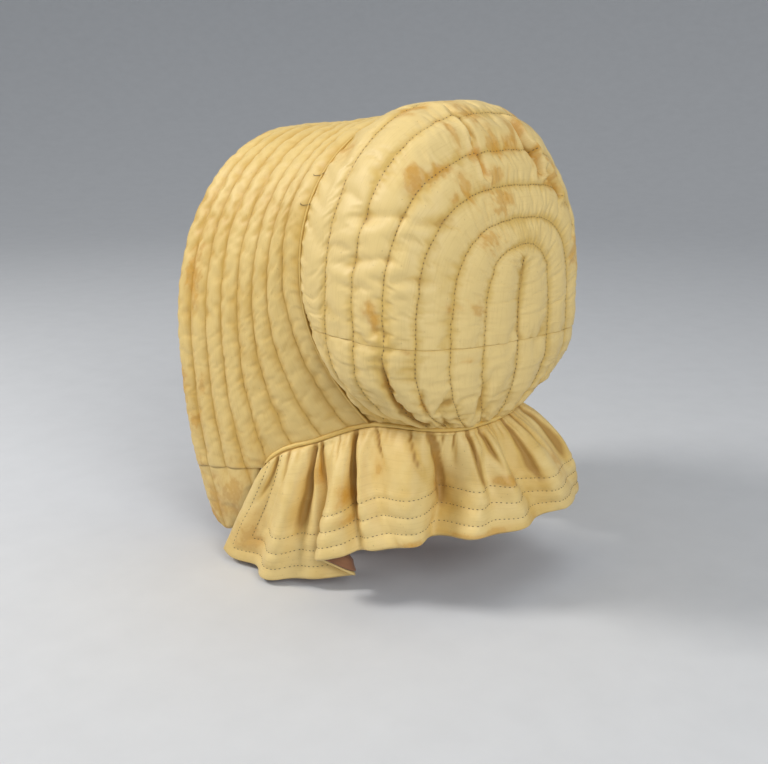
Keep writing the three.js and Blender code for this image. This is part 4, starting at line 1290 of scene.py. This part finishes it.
def stitch_points(centres, tangents, normals, length, radius):
    """Beads: along the stitch from −½ to ½ of its length, lifted by a parabola, in rings of six."""
    along = np.array([-0.5, -0.3, 0.0, 0.3, 0.5])
    thick = np.array([0.45, 0.9, 1.0, 0.9, 0.45])
    angle = np.arange(6) * np.pi / 3
    side = unit(np.cross(tangents, normals))
    spine = (centres[:, None] + tangents[:, None] * (along * length)[None, :, None]
             + normals[:, None] * (radius * (0.8 - 5.2 * along ** 2))[None, :, None])
    ring = np.cos(angle)[:, None] * side[:, None] * 1.15 + np.sin(angle)[:, None] * normals[:, None] * 0.8
    return spine[:, :, None] + ring[:, None] * (thick * radius)[None, :, None, None]


def stitch_piece(name, parts, material):
    """Joins the beads of several paths into one piece, with a flat cap on both ends of each."""
    points = np.concatenate(parts)
    count = len(points)
    numbers = np.arange(30).reshape(5, 6)
    numbers = np.concatenate([numbers, numbers[:, :1]], axis=1)
    caps = np.array([[0, 1, 2, 3], [0, 3, 4, 5], [27, 26, 25, 24], [29, 28, 27, 24]])
    faces = np.concatenate([grid_faces(numbers)[:, ::-1], caps])
    faces = (faces[None] + 30 * np.arange(count)[:, None, None]).reshape(-1, 4)
    piece = new_piece(name, points.reshape(-1, 3), faces, materials=[material])
    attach(piece, "root")


def sew(points, normals, pitch, length, radius, seed):
    """Beads every pitch along a path, each a little out of place."""
    run = run_length(points)
    count = max(2, int(run[-1] / pitch))
    number = np.arange(count)
    at = (number + 0.5 + 0.16 * noise(number * 1.7, seed, 101)) * run[-1] / count
    before, after = read_path(points, run, at - 0.4 * MM), read_path(points, run, at + 0.4 * MM)
    up = unit(read_path(normals, run, at))
    return stitch_points(read_path(points, run, at), unit(after - before), up, length, radius)


def quilting_path(number, turns, rib):
    """Points and normals on the outer face along one quilting line, where it really wanders."""
    line = np.full(turns.shape, float(number))
    line = line - (wandering(line, turns) - number)
    out = directions(line, turns)[2]
    height = relief(line, turns, rib)
    return plain_point(line, turns) + out * height[:, None], out


brim_parts = []
for number in range(1, SEAM_LINE):
    reach = min(float(corner_top(number)), 2.0) - 0.03
    path, up = quilting_path(number, np.linspace(-reach, reach, 1200), BRIM_RIB)
    brim_parts.append(sew(path, up, *BRIM_STITCH, number))
stitch_piece("brim_stitches", brim_parts, THREAD_SILK)

# Two ends of the gathering thread lie open across the seam on the wearer's left.
LOOSE_TURNS = ((0.588, 0.572), (0.722, 0.709))
LOOSE_START, LOOSE_SPAN = 7.74, 0.36
LOOSE_LIFT, LOOSE_RADIUS = 0.5 * MM, 0.2 * MM
for turn_from, turn_to in LOOSE_TURNS:
    way = np.linspace(0, 1, 24)
    loose_line = LOOSE_START + LOOSE_SPAN * way
    loose_turn = turn_from + (turn_to - turn_from) * way + 0.012 * np.sin(np.pi * way ** 0.6)
    loose_out = directions(loose_line, loose_turn)[2]
    loose_lift = relief(loose_line, loose_turn, BRIM_RIB) + LOOSE_LIFT
    loose_path = plain_point(loose_line, loose_turn) + loose_out * loose_lift[:, None]
    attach(tube("loose_thread", loose_path, loose_out, LOOSE_RADIUS, 6, [THREAD_DARK]), "root")

crown_parts = []
for number in range(SEAM_LINE + 1, BACK_LINE):
    turns = np.linspace(-1.97, 1.97, 1400)
    path, up = quilting_path(number, turns, CROWN_RIB)
    crown_parts.append(sew(path, up, *CROWN_STITCH, number))
back_turns = np.linspace(0.12, 1.96, 400)
back_line = np.full(back_turns.shape, float(BACK_LINE))
back_up = directions(back_line, back_turns)[2]
back_lift = relief(back_line, back_turns, CROWN_RIB)
back_path = plain_point(back_line, back_turns) + back_up * back_lift[:, None]
crown_parts.append(sew(back_path, back_up, *CROWN_STITCH, BACK_LINE))
stitch_piece("crown_stitches", crown_parts, THREAD_DARK)

# %% [markdown]
# The rows of the curtain follow lines of equal distance to the edge. On the grid, each column is
# searched for the place where the distance passes the wanted value, and the point between the two
# grid points is read off in proportion.

# %% Stitch the curtain
def level_path(distance, level, points, normals, wanted):
    """Where a distance that falls along the second axis passes a level, one point per column."""
    above = distance >= level
    last = np.clip(above.sum(axis=1) - 1, 0, distance.shape[1] - 2)
    row = np.arange(len(distance))
    d0, d1 = distance[row, last], distance[row, last + 1]
    share = ((d0 - level) / np.maximum(d0 - d1, 1e-9))[:, None]
    place = points[row, last] * (1 - share) + points[row, last + 1] * share
    up = normals[row, last] * (1 - share) + normals[row, last + 1] * share
    keep = wanted[row, last] >= level
    return place[keep], up[keep]


FRONT_ROWS = 2
hem_outer = curtain_outer[:, HEADING_ROWS:]
curtain_parts = []
for row_number in range(ROW_COUNT):
    level = ROW_FIRST + row_number * ROW_PITCH
    path, up = level_path(to_hem, level, hem_outer, curtain_normal, to_front)
    curtain_parts.append(sew(path, up, *CURTAIN_STITCH, row_number))
    for half in (slice(0, len(middle) // 2), slice(len(middle) - 1, len(middle) // 2, -1)):
        grids = (to_front, hem_outer, curtain_normal, to_hem)
        swapped = [v[half][::-1].swapaxes(0, 1) for v in grids]
        path, up = level_path(swapped[0], level, swapped[1], swapped[2], swapped[3])
        if row_number < FRONT_ROWS and len(path) > 2:
            curtain_parts.append(sew(path, up, *CURTAIN_STITCH, row_number + 7))
stitch_piece("curtain_stitches", curtain_parts, THREAD_DARK)

# %% [markdown]
# ## A quiet studio
# The hood stands on a plain pale floor that curves up into a backdrop, so no horizon cuts the
# picture. One large soft lamp from the front left models the pads, a weaker one from the right keeps
# the shadows open, and a pale world fills the rest.

# %% Floor, lamps and camera
FLOOR_Z = -314 * MM
FLAT_REACH, WHOLE_REACH, FLOOR_RISE = 1.6, 6.0, 0.25
LENS, SENSOR = 50.6, 36.0


def floor_material():
    """Pale matt grey, a little cloudy."""
    paint = Paint("studio_floor")
    place = paint.node("ShaderNodeTexCoord", output="Object")
    grain = paint.cloudy(place, 35.0, 3.0)
    tint = paint.mix(grain, colour(202, 203, 204), colour(210, 211, 212))
    return paint.finish(Base_Color=tint, Roughness=0.85)


def backdrop():
    """A square floor that is flat near the hood and rises as the square of the distance beyond."""
    reach = np.linspace(-WHOLE_REACH, WHOLE_REACH, 121)
    x, y = np.meshgrid(reach, reach, indexing="ij")
    beyond = np.maximum(np.hypot(x, y) - FLAT_REACH, 0)
    points = np.stack([x, y, FLOOR_Z + FLOOR_RISE * beyond ** 2], -1)
    numbers = np.arange(x.size).reshape(x.shape)
    mesh = bpy.data.meshes.new("studio_floor")
    mesh.from_pydata(points.reshape(-1, 3).tolist(), [], grid_faces(numbers).tolist())
    mesh.materials.append(floor_material())
    mesh.shade_smooth()
    floor = bpy.data.objects.new("studio_floor", mesh)
    bpy.context.scene.collection.objects.link(floor)


def aim(thing, place, target):
    """Puts a lamp or the camera at a place and turns its −Z axis to a target."""
    thing.location = place
    thing.rotation_euler = (Vector(target) - Vector(place)).to_track_quat("-Z", "Y").to_euler()
    bpy.context.scene.collection.objects.link(thing)


def lamp(name, place, size, power, tint):
    """A round lamp, aimed at the middle of the hood."""
    light = bpy.data.lights.new(name, "AREA")
    light.shape, light.size, light.energy, light.color = "DISK", size, power, tint
    aim(bpy.data.objects.new(name, light), place, (0, -0.03, -0.15))


backdrop()
lamp("key_lamp", (0.8, -0.85, 0.75), 0.45, 13.7, (1.0, 0.98, 0.96))
lamp("fill_lamp", (0.6, 1.35, 0.65), 1.0, 14, (0.98, 0.99, 1.0))
lamp("top_lamp", (-0.4, 0.2, 1.4), 0.9, 3.0, (1.0, 1.0, 1.0))
world = bpy.data.worlds.new("studio_world")
world.use_nodes = True
world.node_tree.nodes["Background"].inputs["Color"].default_value = (0.82, 0.86, 0.92, 1)
world.node_tree.nodes["Background"].inputs["Strength"].default_value = 0.5
bpy.context.scene.world = world
bpy.context.scene.view_settings.view_transform = "Standard"

EYE = np.array([0.5558, 0.4410, 0.0300])
LOOK = np.array([-0.7178, -0.6350, -0.2857])
view = bpy.data.cameras.new("photo_camera")
view.lens, view.sensor_width, view.clip_start = LENS, SENSOR, 0.02
camera = bpy.data.objects.new("photo_camera", view)
aim(camera, EYE, EYE + LOOK)
bpy.context.scene.camera = camera
print("camera", [round(float(v), 3) for v in EYE], "lens", view.lens, "mm")
